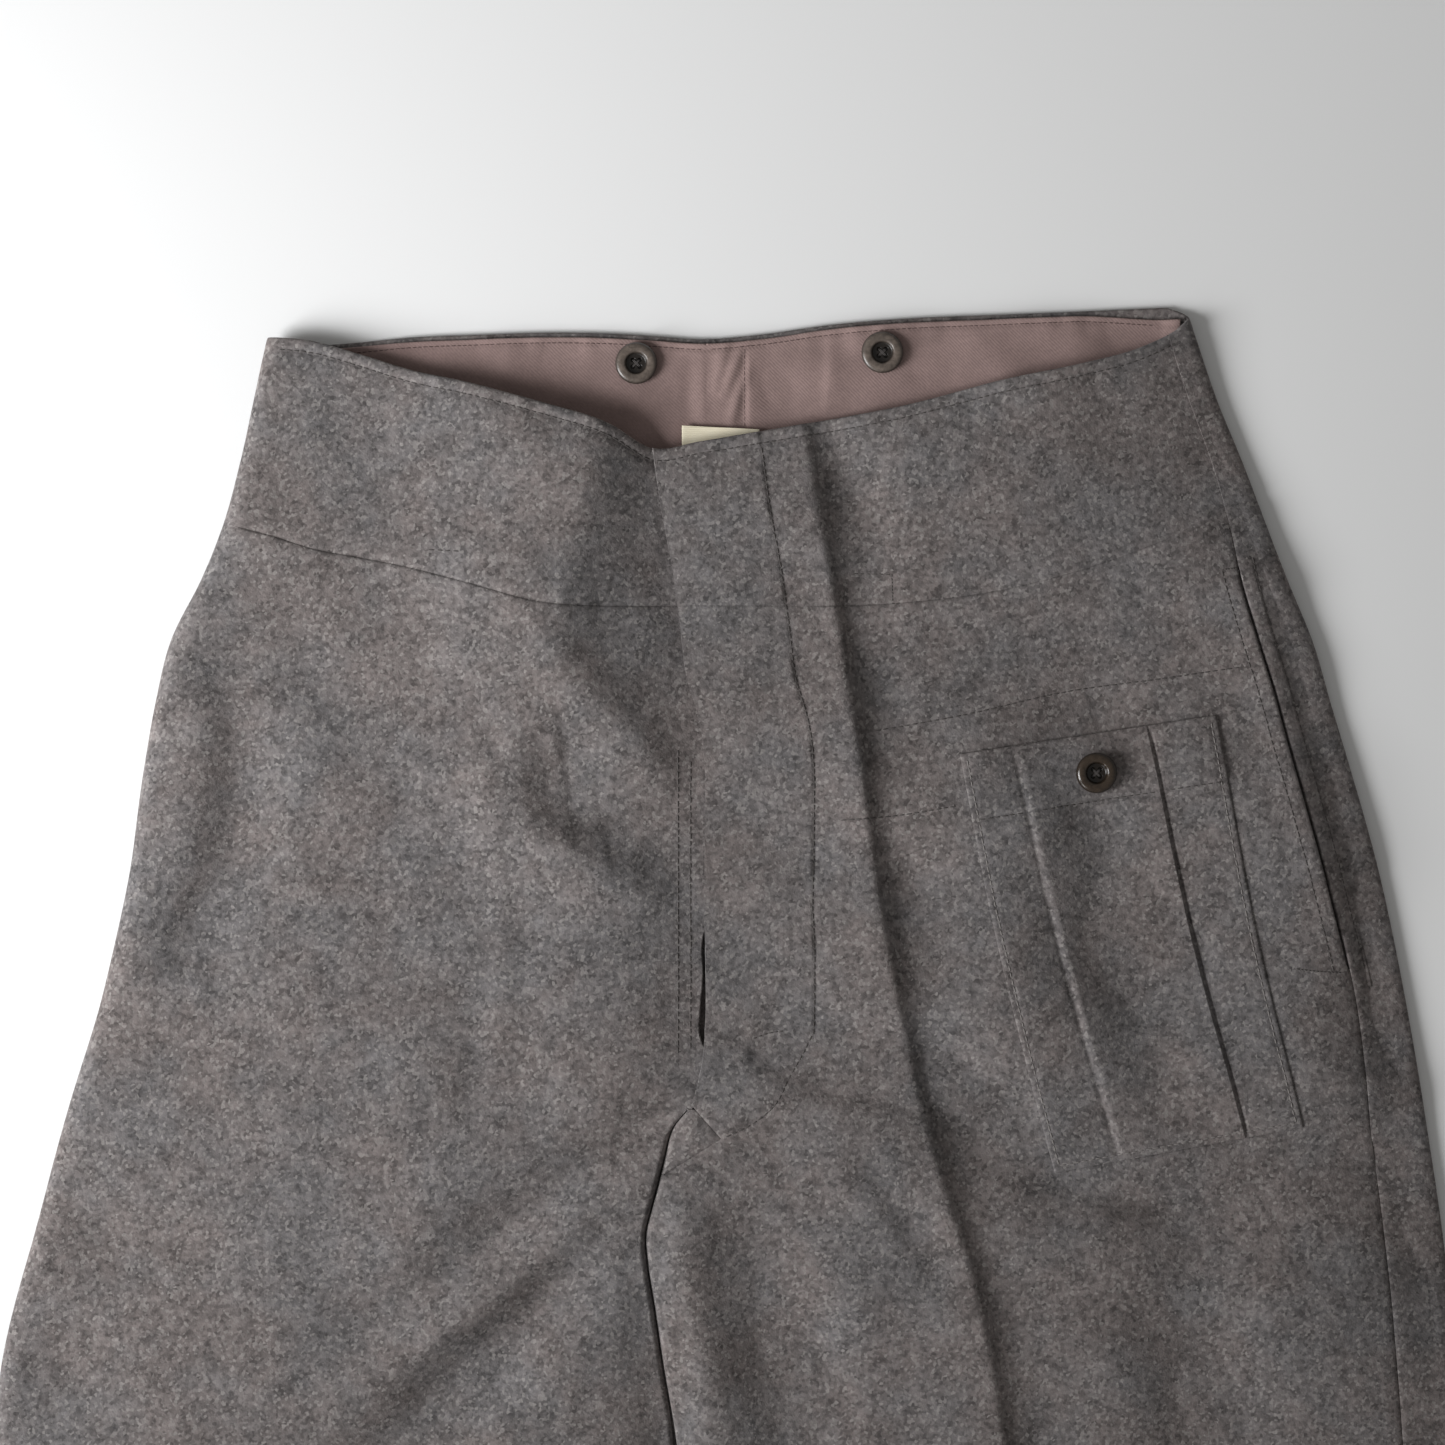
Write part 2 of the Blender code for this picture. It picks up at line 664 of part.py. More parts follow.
LINING_TOP = WOOL + SEAM + DRILL
for wearer, (button_across, button_down) in BRACE_BUTTONS.items():
    button(
        "brace_button_" + wearer, button_across, button_down, LINING_TOP + SEAM, BUTTON_WIDE, BUTTON_THICK
    )
button(
    "pocket_button",
    *POCKET_BUTTON,
    pocket_outside(*map(np.array, POCKET_BUTTON)) + 1.2 + SEAM,
    POCKET_BUTTON_WIDE,
    POCKET_BUTTON_THICK,
)
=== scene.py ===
# %% [markdown]
# # Wool service trousers, laid flat on their back
#
# The real thing is a pair of heavy wool trousers: two fronts, two backs, a deep waistband in four
# parts, a lapped fly, a pleated patch pocket, and a drill lining that shows in the open waist.
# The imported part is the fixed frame, and it already has each of these as a wall of cloth. Every
# panel is made again here from the same sizes on a far finer grid, so that it can hold what a
# rigid solid leaves out: soft folds, seam ditches, puckers, rounded edges and sewing.

# %% Load the frame
import math

import bpy
import numpy as np
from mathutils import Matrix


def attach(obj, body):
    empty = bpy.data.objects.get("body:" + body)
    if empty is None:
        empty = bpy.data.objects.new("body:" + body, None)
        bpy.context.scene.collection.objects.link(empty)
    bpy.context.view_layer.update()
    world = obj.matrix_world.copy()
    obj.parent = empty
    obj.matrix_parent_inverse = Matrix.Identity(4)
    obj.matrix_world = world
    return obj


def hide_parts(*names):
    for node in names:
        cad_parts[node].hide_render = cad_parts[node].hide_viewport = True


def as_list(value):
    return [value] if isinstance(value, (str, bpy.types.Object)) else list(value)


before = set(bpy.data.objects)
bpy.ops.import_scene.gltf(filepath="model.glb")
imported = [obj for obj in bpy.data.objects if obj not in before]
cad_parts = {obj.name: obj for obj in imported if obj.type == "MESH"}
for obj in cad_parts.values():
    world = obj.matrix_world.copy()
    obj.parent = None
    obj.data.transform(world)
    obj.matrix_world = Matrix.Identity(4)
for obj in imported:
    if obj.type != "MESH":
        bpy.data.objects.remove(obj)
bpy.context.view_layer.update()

MM = 0.001

# %% [markdown]
# ## Sizes in tables
#
# A tailor drafts a garment from a few measures taken down its length. Each table below is one such
# draft: a row for each level, and a named column for each line that crosses it. "across" runs to
# the viewer's right from the middle, "down" from the top of the waist, and a height is measured up
# from the floor, all in millimetres. A smooth cubic through the rows gives any place between them.


# %% Tables, and the curves that everything else is made of
def table(columns, *rows):
    """A table as a dictionary from each column's name to its values, one a row."""
    return dict(zip(columns.split(), np.array(rows, float).T))


def read(rows, column, at):
    """The column at places in the first column: a cubic, with slopes from the rows beside them."""
    spots, values = next(iter(rows.values())), rows[column]
    slopes = np.gradient(values, spots)
    at = np.clip(at, spots[0], spots[-1])
    i = np.clip(np.searchsorted(spots, at) - 1, 0, len(spots) - 2)
    step = spots[i + 1] - spots[i]
    t = (at - spots[i]) / step
    return (
        values[i] * (1 + 2 * t) * (1 - t) ** 2
        + values[i + 1] * t * t * (3 - 2 * t)
        + step * slopes[i] * t * (1 - t) ** 2
        - step * slopes[i + 1] * t * t * (1 - t)
    )


def ease(value):
    """0 below 0, 1 above 1, and the smooth cubic 3t^2 - 2t^3 between."""
    t = np.clip(value, 0, 1)
    return t * t * (3 - 2 * t)


def bell(value):
    """1 at 0, falling off on both sides as exp(-v^2 / 2)."""
    return np.exp(-0.5 * value**2)


def fade(distance, run):
    """1 up to a distance of 0, and from there on exp(-distance / run)."""
    return np.exp(-np.maximum(distance, 0) / run)


def between(value, start, end, run_in, run_out):
    """1 between start and end: it eases in over the first run, and out again over the second."""
    return ease((value - start) / run_in) * ease((end - value) / run_out)


# %% The draft of the trousers
LENGTH, HEM = 1080.0, 38.0
FORK, FORK_START, FORK_TIP, FORK_END = 346.0, 344.0, 358.6, 374.0
MOUTH_START, MOUTH_END = 114.0, 287.0

OUTLINE = table(
    "down right left side_seam",
    (0, -193, 200, 189),
    (15, -196.7, 205, 193),
    (41, -202.3, 214, 201.5),
    (67, -207.9, 224.7, 211),
    (92, -214.4, 234.1, 218),
    (118, -224.7, 244, 223.5),
    (144, -237.6, 254.8, 231),
    (170, -244, 262.5, 239),
    (196, -248.8, 270.3, 246),
    (247, -256.1, 284.4, 260),
    (299, -267.7, 295.2, 273),
    (350, -283.2, 303.8, 279),
    (402, -297.3, 311.5, 285.5),
    (454, -310.7, 317, 290),
    (490, -314.5, 320, 293),
    (560, -314, 321, 296),
    (700, -305, 316, 297),
    (850, -293, 306, 290),
    (1000, -282, 296, 281),
    (LENGTH, -277, 292, 278),
)
LEGS = table(
    "down right left",
    (FORK, -15.2, -14.7),
    (353, -20.6, -20.2),
    (368, -25.4, -25),
    (378, -27.9, -27.4),
    (390, -31, -30.6),
    (400, -33.3, -32.9),
    (411, -32.8, -32.3),
    (432, -29.7, -29.1),
    (455, -26.4, -25.7),
    (481, -22.2, -21.2),
    (500, -20.6, -18.4),
    (560, -18, -8),
    (700, -28, 14),
    (850, -38, 32),
    (1000, -47, 48),
    (LENGTH, -51, 54),
)
FLY = table(
    "down edge under",
    (55, -31.5, -26),
    (89, -26.9, -21.5),
    (110, -23, -17.5),
    (137, -19.1, -13.5),
    (162, -15.7, -10),
    (176, -11.5, -6),
    (234, -8.4, -3),
    (262, -8.8, -5.5),
    (273, -8.2, -8.9),
    (288, -8.0, -8.7),
    (303, -8.0, -9.9),
    (314, -8.4, -10.2),
    (324, -9.3, -6.5),
    (338, -12, -10),
    (FORK, -13.5, -13.2),
)
CREASE = table(
    "down left",
    (50, 35),
    (100, 43.6),
    (147, 52),
    (191, 58.6),
    (247, 66.4),
    (286, 73),
    (319, 80),
    (349, 87.4),
    (382, 96.4),
    (415, 107),
    (490, 121.5),
    (600, 134),
    (800, 149),
    (LENGTH, 173),
)
BAND = table(
    "across front_top seam back_top back_seam",
    (-230, 14, 88, 17, 88),
    (-208, 13.6, 95.5, 17, 95.5),
    (-193, 13.2, 99.5, 17, 96),
    (-177.4, 14.6, 104.5, 16.6, 96.4),
    (-155.9, 20.7, 108.6, 15, 96.8),
    (-134.4, 27.4, 113, 13, 97),
    (-109.4, 33, 119.5, 12, 97),
    (-78.5, 41.3, 127.7, 11, 97),
    (-47.5, 51.4, 129.5, 11.4, 97),
    (-30.3, 61, 129.4, 12.4, 97),
    (-9.7, 58.2, 129.4, 13.8, 97),
    (16.1, 53.8, 129.4, 11.8, 97),
    (46.2, 48.6, 129.4, 7.6, 97),
    (76.3, 43, 128, 5, 97),
    (119.3, 32, 122.6, 3.2, 96.6),
    (153.7, 24.8, 114, 1.8, 95.5),
    (180, 17.4, 105, 0.6, 93.5),
    (190, 13, 101, 0.2, 92.5),
    (198, 8.8, 96.5, 0, 91.5),
    (212, 7, 88, 3, 88),
    (240, 8, 83, 5, 83),
)
DEPTH = table("down height", (0, 9.6), (60, 10.4), (300, 10.4), (490, 10), (LENGTH, 9.4))
STEP = table(
    "down rise",
    (40, 1),
    (90, 1.2),
    (130, 1.5),
    (230, 1.5),
    (330, 1.2),
    (400, 1.2),
    (490, 1.1),
    (600, 0.6),
    (700, 0.3),
    (LENGTH, 0.2),
)


def side_seam(down):
    """Across of the left side seam, which lies on top, near the outline."""
    return read(OUTLINE, "side_seam", down)


def fork_seam(down):
    """Across of the seam between the left front and the fork piece: straight down to its tip and back."""
    return np.interp(down, (FORK_START, FORK_TIP, FORK_END), (-13.5, -0.6, -25))


def mouth_open(down):
    """1 where the side pocket is open, 0 where the side seam is closed."""
    return between(down, MOUTH_START, MOUTH_END, 4, 4)


print("waist", OUTLINE["left"][0] - OUTLINE["right"][0], "mm flat, outside leg", LENGTH, "mm")

# %% [markdown]
# ## Folds placed one by one
#
# Thick wool doesn't crumple: it lies in a few long, soft folds, and a fold is nearly always steeper
# on one side. So each fold is a bell that follows a short path, with its own width on either side,
# and it dies away at both ends. The paths run down the garment, and the first width is the one on
# the viewer's left. A trough has a negative rise. The thighs above the knee follow the photograph;
# below it come the quiet folds that such legs have.

# %% Folds: rise, left width, right width, then the path as points of (across, down)
FOLDS = {
    "crest beside the fly": (8.6, 44, 15, (-58, 40), (-64, 80), (-71, 112), (-77, 145), (-75, 158)),
    "crest turning to the fly": (3.6, 14, 8, (-74, 146), (-66, 160), (-49, 177), (-33, 195), (-22, 212)),
    "floor beside the fly": (-3.6, 12, 26, (-22, 46), (-18, 90), (-13, 122), (-10, 150), (-6, 182)),
    "second crest to the fly": (
        4.0, 16, 8, (-86, 180), (-90, 206), (-82, 226), (-62, 238), (-42, 248), (-26, 262)
    ),
    "floor behind the second crest": (-2.4, 9, 12, (-76, 190), (-73, 210), (-58, 222), (-38, 233)),
    "dimple of the right hip": (-1.6, 6, 6, (-108, 164), (-103, 184), (-99, 198)),
    "hollow of the right hip": (-2.2, 13, 12, (-184, 116), (-178, 148), (-173, 176)),
    "crest near the right edge": (
        2.2, 14, 9, (-230, 140), (-223, 170), (-221, 200), (-230, 236), (-248, 282), (-264, 322)
    ),
    "valley near the right edge": (
        -3.4, 9, 13, (-216, 154), (-209, 186), (-208, 214), (-217, 242), (-238, 288)
    ),
    "pressed crease, right": (
        0.9, 3.5, 4.5, (-106, 130), (-105, 183), (-96, 247), (-94, 299), (-109, 346), (-128, 382)
    ),
    "ridge above the fork": (2.6, 14, 8, (-30, 338), (-64, 350), (-104, 372), (-148, 402)),
    "dent of the right thigh": (-1.8, 5, 6, (-103, 318), (-107, 338), (-112, 352)),
    "fork trough, right": (-6.4, 8, 8, (-20, 350), (-50, 368), (-76, 387), (-98, 404), (-140, 434)),
    "fork ridge, right": (4.6, 11, 8, (-38, 374), (-64, 396), (-96, 422), (-138, 456), (-180, 496)),
    "lower fork trough, right": (-6.2, 9, 13, (-46, 394), (-62, 414), (-84, 436), (-112, 464), (-152, 504)),
    "lower fork ridge, right": (2.2, 11, 10, (-44, 416), (-60, 442), (-82, 470), (-108, 504)),
    "outer trough, right thigh": (-2.6, 10, 14, (-246, 408), (-268, 428), (-290, 452), (-306, 484)),
    "trough at the inner left thigh": (-5.2, 15, 17, (8, 380), (16, 410), (26, 442), (36, 472), (46, 516)),
    "ridge at the inner left thigh": (2.6, 7, 9, (-18, 384), (-17, 414), (-8, 446), (2, 500)),
    "second trough, left thigh": (-1.4, 9, 11, (66, 420), (76, 462), (82, 520)),
    "trough below the fly": (-6.4, 7, 16, (12, 318), (44, 330), (80, 337), (104, 341), (136, 346)),
    "thin trough beside the crease": (-2.0, 4, 6, (58, 366), (80, 394), (96, 424)),
    "trough under the dressing pocket": (
        -3.6, 9, 14, (92, 352), (150, 376), (206, 378), (262, 364), (296, 362)
    ),
    "long trough, left thigh": (-3.6, 15, 14, (204, 396), (206, 430), (212, 470), (214, 520)),
    "ridge, left thigh": (1.8, 16, 12, (158, 400), (166, 440), (176, 500)),
    "hollow under the left band": (-1.6, 10, 10, (62, 140), (110, 144), (160, 136), (204, 122)),
    "fall at the left band's end": (-4.6, 14, 22, (202, 6), (214, 44), (229, 84), (240, 118)),
    "fall beyond the side seam": (
        -6.4, 8, 24, (238, 92), (245, 130), (254, 170), (269, 222), (283, 272), (292, 316)
    ),
    "crest at the pocket's left edge": (
        3.4, 20, 34, (110, 200), (116, 240), (124, 280), (134, 325), (145, 362)
    ),
    "swell below the second crest": (3.0, 40, 14, (-44, 262), (-38, 290), (-42, 325)),
    "hollow under the dressing pocket": (
        -5.0, 16, 32, (166, 204), (175, 240), (184, 280), (194, 325), (203, 362)
    ),
    "fall along the left edge": (-6.6, 18, 20, (284, 240), (296, 300), (306, 370), (318, 470), (324, 560)),
    "fall at the inner right leg": (-3.2, 9, 6, (-30, 392), (-31, 420), (-27, 455), (-22, 500), (-20, 560)),
    "soft trough of the left band": (-1.6, 7, 9, (50, 56), (60, 86), (66, 116)),
    "right thigh ridge": (2.2, 16, 16, (-230, 480), (-205, 560), (-196, 640)),
    "right knee trough": (-2.6, 10, 12, (-60, 640), (-110, 662), (-150, 668)),
    "right knee ridge": (1.8, 11, 11, (-270, 690), (-215, 704), (-180, 700)),
    "left knee trough": (-2.6, 10, 12, (40, 610), (90, 640), (120, 646)),
    "left knee ridge": (2, 12, 12, (180, 660), (230, 690), (290, 698)),
    "right shin trough": (-2, 12, 10, (-225, 800), (-200, 860), (-198, 930)),
    "left shin trough": (-2, 12, 14, (215, 780), (205, 850), (215, 930)),
    "right calf ridge": (1.6, 12, 10, (-120, 760), (-100, 830), (-104, 900)),
    "left calf ridge": (1.6, 12, 10, (100, 780), (92, 850), (100, 930)),
}
FOLD_REACH = 3.2


def folds(which, across, down):
    """The sum of rise * ends * bell(distance from the path / width), with a width for either side."""
    across, down = np.broadcast_arrays(across, down)
    total = np.zeros(across.shape)
    for rise, left, right, *path in which.values():
        points = np.array(path, float)
        reach = FOLD_REACH * max(left, right)
        low, high = points.min(0) - reach, points.max(0) + reach
        near = (across > low[0]) & (across < high[0]) & (down > low[1]) & (down < high[1])
        if not near.any():
            continue
        runs = np.linalg.norm(np.diff(points, axis=0), axis=1)
        gone = np.concatenate([[0], np.cumsum(runs)])[:-1]
        start, run = points[:-1, :, None], np.diff(points, axis=0)[:, :, None]
        off = np.stack([across[near], down[near]])[None] - start
        t = np.clip((off * run).sum(1) / (run**2).sum(1), 0, 1)
        away = off - t[:, None] * run
        distance = np.hypot(away[:, 0], away[:, 1])
        closest = distance.argmin(0)[None]
        distance = np.take_along_axis(distance, closest, 0)[0]
        place = np.take_along_axis((gone[:, None] + t * runs[:, None]) / runs.sum(), closest, 0)[0]
        turn = np.take_along_axis(run[:, 0] * off[:, 1] - run[:, 1] * off[:, 0], closest, 0)[0]
        width = left + (right - left) * ease(0.5 - turn / np.hypot(*run[closest[0], :, 0].T) / 4)
        ends = 0.25 + 0.75 * np.sin(np.pi * place) ** 0.6
        total[near] += rise * ends * bell(distance / width)
    return total


print("folds:", len(FOLDS))

# %% [markdown]
# ## Unevenness
#
# Even a pressed panel is never flat. Its slow unevenness is a sum of sine waves in all directions,
# each drawn from a seeded generator, so that every run gives the same cloth. Along a seam the
# thread draws the cloth up, and it puckers in short waves that die away within a finger's width.

# %% Slow waves and puckers
rng = np.random.default_rng(7)
WAVE_COUNT, SHORTEST_WAVE, LONGEST_WAVE, WAVE_SLOPE = 18, 34, 190, 0.026
PUCKER, PUCKER_REACH = 11.0, 6
WAVES = np.stack(
    [
        2 * np.pi / np.geomspace(SHORTEST_WAVE, LONGEST_WAVE, WAVE_COUNT),
        rng.uniform(0, 2 * np.pi, WAVE_COUNT),
        rng.uniform(0, 2 * np.pi, WAVE_COUNT),
    ]
)


def waves(across, down):
    """The sum of slope / f * sin(f * distance along a heading + phase)."""
    total = 0.0
    for often, heading, phase in WAVES.T:
        along = across * np.cos(heading) + down * np.sin(heading)
        total = total + WAVE_SLOPE / often * np.sin(often * along + phase)
    return total


def puckers(along, away, depth):
    """Waves along a seam of two lengths that drift against each other, fading with the distance away."""
    wave = np.sin(2 * np.pi * along / PUCKER) + 0.6 * np.sin(2 * np.pi * along / (PUCKER * 1.63) + 1)
    return depth * wave * np.sin(along / 37) * fade(np.abs(away), PUCKER_REACH)


# %% [markdown]
# ## The height of each layer
#
# A panel's shape is one function: how high its outside lies at a place. It starts from the depth of
# the flat garment and adds the folds, the slow waves and what the sewing does. Each seam draws in
# a narrow ditch, and beside it the cloth swells over the turned-in allowances. The left front takes
# the right front's height and adds its lap, its pressed crease, the pocket's lip and its stitching.

# %% The right front
FLOOR_OF_FRONT, FLOOR_GIVE = 7.0, 0.2
BAND_STITCH = 5.8
SEAM_DEEP, SEAM_RUN, SEAM_SWELL = 0.6, 1.0, 0.5
RIGHT_SLACK, LEFT_SLACK, SLACK_RUN = 4.0, 2.0, 22


def below(column, across, down):
    """The distance down from a line of the band's table."""
    return down - read(BAND, column, across)


def sewn_band(across, down):
    """What sewing does to the height: the waist seam's ditch and puckers, and the band's rolled top."""
    seam = below("seam", across, down)
    top = below("front_top", across, down)
    pressed = 1 - 0.75 * between(across, -32, 48, 10, 14)
    height = -SEAM_DEEP * fade(np.abs(seam), SEAM_RUN) + 0.12 * bell((np.abs(seam) - 5) / 3)
    height = height + SEAM_SWELL * ease(seam / 1.4 + 0.5) * fade(seam, 16)
    height = (height + puckers(across, seam, 0.2)) * pressed
    height = height - 0.4 * bell((top - BAND_STITCH) / 1.0) + 0.2 * bell((top - 2.8) / 1.6)
    height = height - 0.5 * fade(top - 0.8, 0.7)
    return height + puckers(across + 40, top - BAND_STITCH, 0.14)


def right_top(across, down):
    """The outside of the right front, and of all the left front before the fly is lapped over.

    Slack lifts it at the waist, and it is held above a floor, which lies lower at the legs and sides.
    """
    height = read(DEPTH, "height", down) + folds(FOLDS, across, down) + waves(across, down)
    slack = RIGHT_SLACK * between(across, -185, -28, 80, 30)
    slack = slack + LEFT_SLACK * between(across, 20, 190, 50, 60)
    height = height + slack * fade(below("front_top", across, down), SLACK_RUN)
    hem = LENGTH - down
    height = height - 0.4 * bell((hem - HEM) / 1.4) + 0.5 * ease((HEM - hem) / 4)
    lower = np.maximum(1.8 * ease((np.abs(across - 10) - 60) / 30), 2.6 * ease((down - 338) / 16))
    lower = np.maximum(lower, 2.4 * ease((across - side_seam(down) + 5) / 12))
    floor = FLOOR_OF_FRONT - lower
    height = np.maximum(height, floor) + FLOOR_GIVE * np.minimum(height - floor, 0)
    return height + sewn_band(across, down)


# %% The left front
FLY_STEP, FLY_RISE, FACING_WIDTH, FACING_END = 1.8, 0.8, 47.5, 322
CREASE_ROUND, CREASE_RUN, CREASE_SINK = 1.0, 5.6, 3.0
LOWEST_FRONT, MOUTH_LIP = 5.0, 1.3
VALLEY = {"floor beside the fly": FOLDS["floor beside the fly"]}


def lap_line(down):
    """Across of the left front's inner edge: the fly's edge, and below the fork the inner leg."""
    leg = ease((down - FORK) / 24)
    return read(FLY, "edge", down) * (1 - leg) + read(LEGS, "left", down) * leg


def fly_stitch(down):
    """Across of the long stitch line that holds the fly's facing."""
    edge = read(FLY, "edge", down)
    return edge + (read(LEGS, "left", down) - edge) * ease((down - FORK) / 30) + FACING_WIDTH


def side_ditch(beyond, down, run):
    """The side seam's ditch, as exp(-distance / run), which is shallow in the band."""
    return -SEAM_DEEP * (0.06 + 0.94 * ease((down - 80) / 30)) * fade(beyond, run)


def left_top(across, down):
    """The left front laps over the fly and stands as a plateau as far as its pressed crease.

    The valley beside the fly doesn't go on under it. Past the crease the cloth falls as
    exp(-distance / run), steepest just under the crease, to a little below where it would lie.
    """
    right = right_top(across, down) - 0.85 * folds(VALLEY, across, down)
    edge, crease = lap_line(down), read(CREASE, "left", down)
    start = FLY_STEP * (1 - 0.8 * ease((down - 320) / 40))
    risen = np.clip((across - edge - 8) / (crease - edge - 8), 0, 1)
    lap = start + (FLY_STEP + FLY_RISE - start) * risen
    past = CREASE_ROUND * np.logaddexp(0, (across - crease) / CREASE_ROUND)
    fallen = np.exp(-past / CREASE_RUN)
    sink = CREASE_SINK * (1 - fallen) * np.exp(-past / 110)
    step = (lap * fallen - sink) * read(STEP, "rise", down)
    lap_edge = start * (1 - ease((across - edge) / 12))
    step = np.maximum(step, np.where(across < crease, lap_edge, LOWEST_FRONT - right))
    mouth = between(down, MOUTH_START, MOUTH_END, 25, 25)
    side = side_seam(down) - across
    lip = MOUTH_LIP * mouth * ease(1 - side / 14) + side_ditch(side, down, 1.1) * (1 - mouth)
    sewn = across - fly_stitch(down)
    upper = ease((FACING_END - down) / 20)
    deep = 0.6 + 0.25 * np.sin(down / 6) + 0.2 * np.sin(down / 2.7)
    facing = -deep * upper * ease((sewn + 1.4) / 2.2) * fade(sewn, 14)
    gusset = -SEAM_DEEP * fade(np.abs(across - fork_seam(down)), 1.3)
    gusset = gusset * (down > FORK_START) * (down < FORK_END)
    droop = -0.3 * ease((down - FORK) / 24) * fade(across - edge, 7)
    return right + step + lip + facing + gusset + droop + puckers(down, sewn, 0.12) * upper


def placed(across, down, up):
    """Points in metres, with the middle of the garment's box at the origin."""
    middle = (OUTLINE["right"].min() + OUTLINE["left"].max()) / 2
    across, down, up = np.broadcast_arrays(across, down, up)
    return np.stack([across - middle, LENGTH / 2 - down, up], axis=-1) * MM


print("crest beside the fly:", round(float(right_top(-71.0, 112.0)), 1), "mm above the floor")

# %% [markdown]
# ## A wall of cloth with rounded rims
#
# A sheet without thickness looks like paper wherever its edge shows. Solidify would give it a
# square rim, so the wall is worked out here: the outside grid, the same grid moved inwards along
# its normals with every second point left out, and three rings that carry the outside round to the
# inside on a half ellipse. Where an edge is free, the ellipse stands out and the edge is round like
# a folded one. At a seam it stays flat, the shading breaks there, and the next piece starts just
# beside it.


# %% The cloth builder
def unit(vectors):
    """Vectors at length 1."""
    return vectors / np.maximum(np.linalg.norm(vectors, axis=-1, keepdims=True), 1e-12)


def border(rows, columns):
    """The indices round a grid, clockwise from its first corner."""
    ids = np.arange(rows * columns).reshape(rows, columns)
    return np.concatenate([ids[0, :-1], ids[:-1, -1], ids[-1, :0:-1], ids[:0:-1, 0]])


def cells(rows, columns, first=0):
    """The four corners of each cell of a grid, in an order that faces along down x across."""
    ids = first + np.arange(rows * columns).reshape(rows, columns)
    corners = [ids[:-1, :-1], ids[1:, :-1], ids[1:, 1:], ids[:-1, 1:]]
    return np.stack([c.ravel() for c in corners], axis=1)


MATERIALS = {}


def mesh_piece(name, points, faces, slot, *stands_for, crisp=None):
    """A smooth mesh of points in metres and lists of faces, which rides on the part's one body.

    Where both ends of an edge are marked in crisp, the shading breaks at that edge.
    """
    mesh = bpy.data.meshes.new(name)
    mesh.from_pydata(points.tolist(), [], faces)
    mesh.shade_smooth()
    if crisp is not None:
        ends = np.empty(len(mesh.edges) * 2, np.int32)
        mesh.edges.foreach_get("vertices", ends)
        marked = np.zeros(len(points), bool)
        marked[: len(crisp)] = crisp
        layer = mesh.attributes.new("sharp_edge", "BOOLEAN", "EDGE")
        layer.data.foreach_set("value", marked[ends].reshape(-1, 2).all(axis=1))
    mesh.materials.append(MATERIALS[slot])
    piece = bpy.data.objects.new(name, mesh)
    bpy.context.scene.collection.objects.link(piece)
    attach(piece, "root")
    if stands_for:
        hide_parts(*stands_for)
    "thread" not in slot
    print(f"{name}: {sum(len(face) - 2 for face in faces)} triangles")
    return piece


RIM_TURNS = np.radians([45, 90, 135])


def wall_of(points, wall, swell, flip):
    """Points and faces of a closed wall of cloth. swell is how far each border's rim stands out:
    first row, last row, first column, last column."""
    rows, columns = points.shape[:2]
    along, downward = np.gradient(points, axis=1), np.gradient(points, axis=0)
    normal = unit(np.cross(downward, along)) * (-1 if flip else 1)
    thick = np.broadcast_to(np.asarray(wall, float), (rows, columns))[..., None] * MM
    out = np.zeros_like(points)
    borders = (np.s_[0], -downward), (np.s_[-1], downward), (np.s_[:, 0], -along), (np.s_[:, -1], along)
    for (line, outward), reach in zip(borders, swell):
        out[line] += unit(outward[line]) * np.asarray(reach)[..., None] * MM
    fine = border(rows, columns)
    edge, facing, deep, bulge = (a.reshape(-1, 3)[fine] for a in (points, normal, thick * np.ones(3), out))
    half = facing * deep / 2
    rings = [edge - half + half * math.cos(turn) + bulge * math.sin(turn) for turn in RIM_TURNS]
    inside = (points - normal * thick)[::2, ::2]
    half_rows, half_columns = inside.shape[:2]
    count, ring = rows * columns, len(fine)
    levels = [fine] + [count + k * ring + np.arange(ring) for k in range(len(rings))]
    first_inside = count + len(rings) * ring
    quads = [cells(rows, columns), cells(half_rows, half_columns, first_inside)[:, ::-1]]
    for upper, lower in zip(levels[:-1], levels[1:]):
        quads.append(np.stack([upper, np.roll(upper, -1), np.roll(lower, -1), lower], axis=1))
    one, two, three = levels[-1][0::2], levels[-1][1::2], np.roll(levels[-1], -2)[0::2]
    coarse = first_inside + border(half_rows, half_columns)
    onward = np.roll(coarse, -1)
    closing = (one, two, coarse), (two, onward, coarse), (two, three, onward)
    threes = np.concatenate([np.stack(corners, axis=1) for corners in closing])
    quads = np.concatenate(quads)
    if flip:
        quads, threes = quads[:, ::-1], threes[:, ::-1]
    whole = np.concatenate([points.reshape(-1, 3), *rings, inside.reshape(-1, 3)])
    return whole, quads.tolist() + threes.tolist()


def seam_edges(shape, swell):
    """The points of a grid's borders that don't stand out, which are those that are sewn to a neighbour."""
    sewn = np.zeros(shape, bool)
    for border_line, out in zip((sewn[0], sewn[-1], sewn[:, 0], sewn[:, -1]), swell):
        border_line |= np.asarray(out) == 0
    return sewn.ravel()


def cloth(name, points, wall, node, rests_on, slot="wool", swell=(0, 0, 0, 0), flip=False):
    """One panel of cloth: its wall, and the node it stands for."""
    crisp = seam_edges(points.shape[:2], swell)
    piece = mesh_piece(name, *wall_of(points, wall, swell, flip), slot, node, crisp=crisp)
    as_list(rests_on)


# %% [markdown]
# ## Colour, node and material helpers
#
# Colours are picked as sRGB hex values, the way a screen shows them, and a shader works in linear
# light, so one function turns the one to the other. One more adds any node, sets what it is given
# and joins its sockets, which keeps each material short enough to read at a glance.


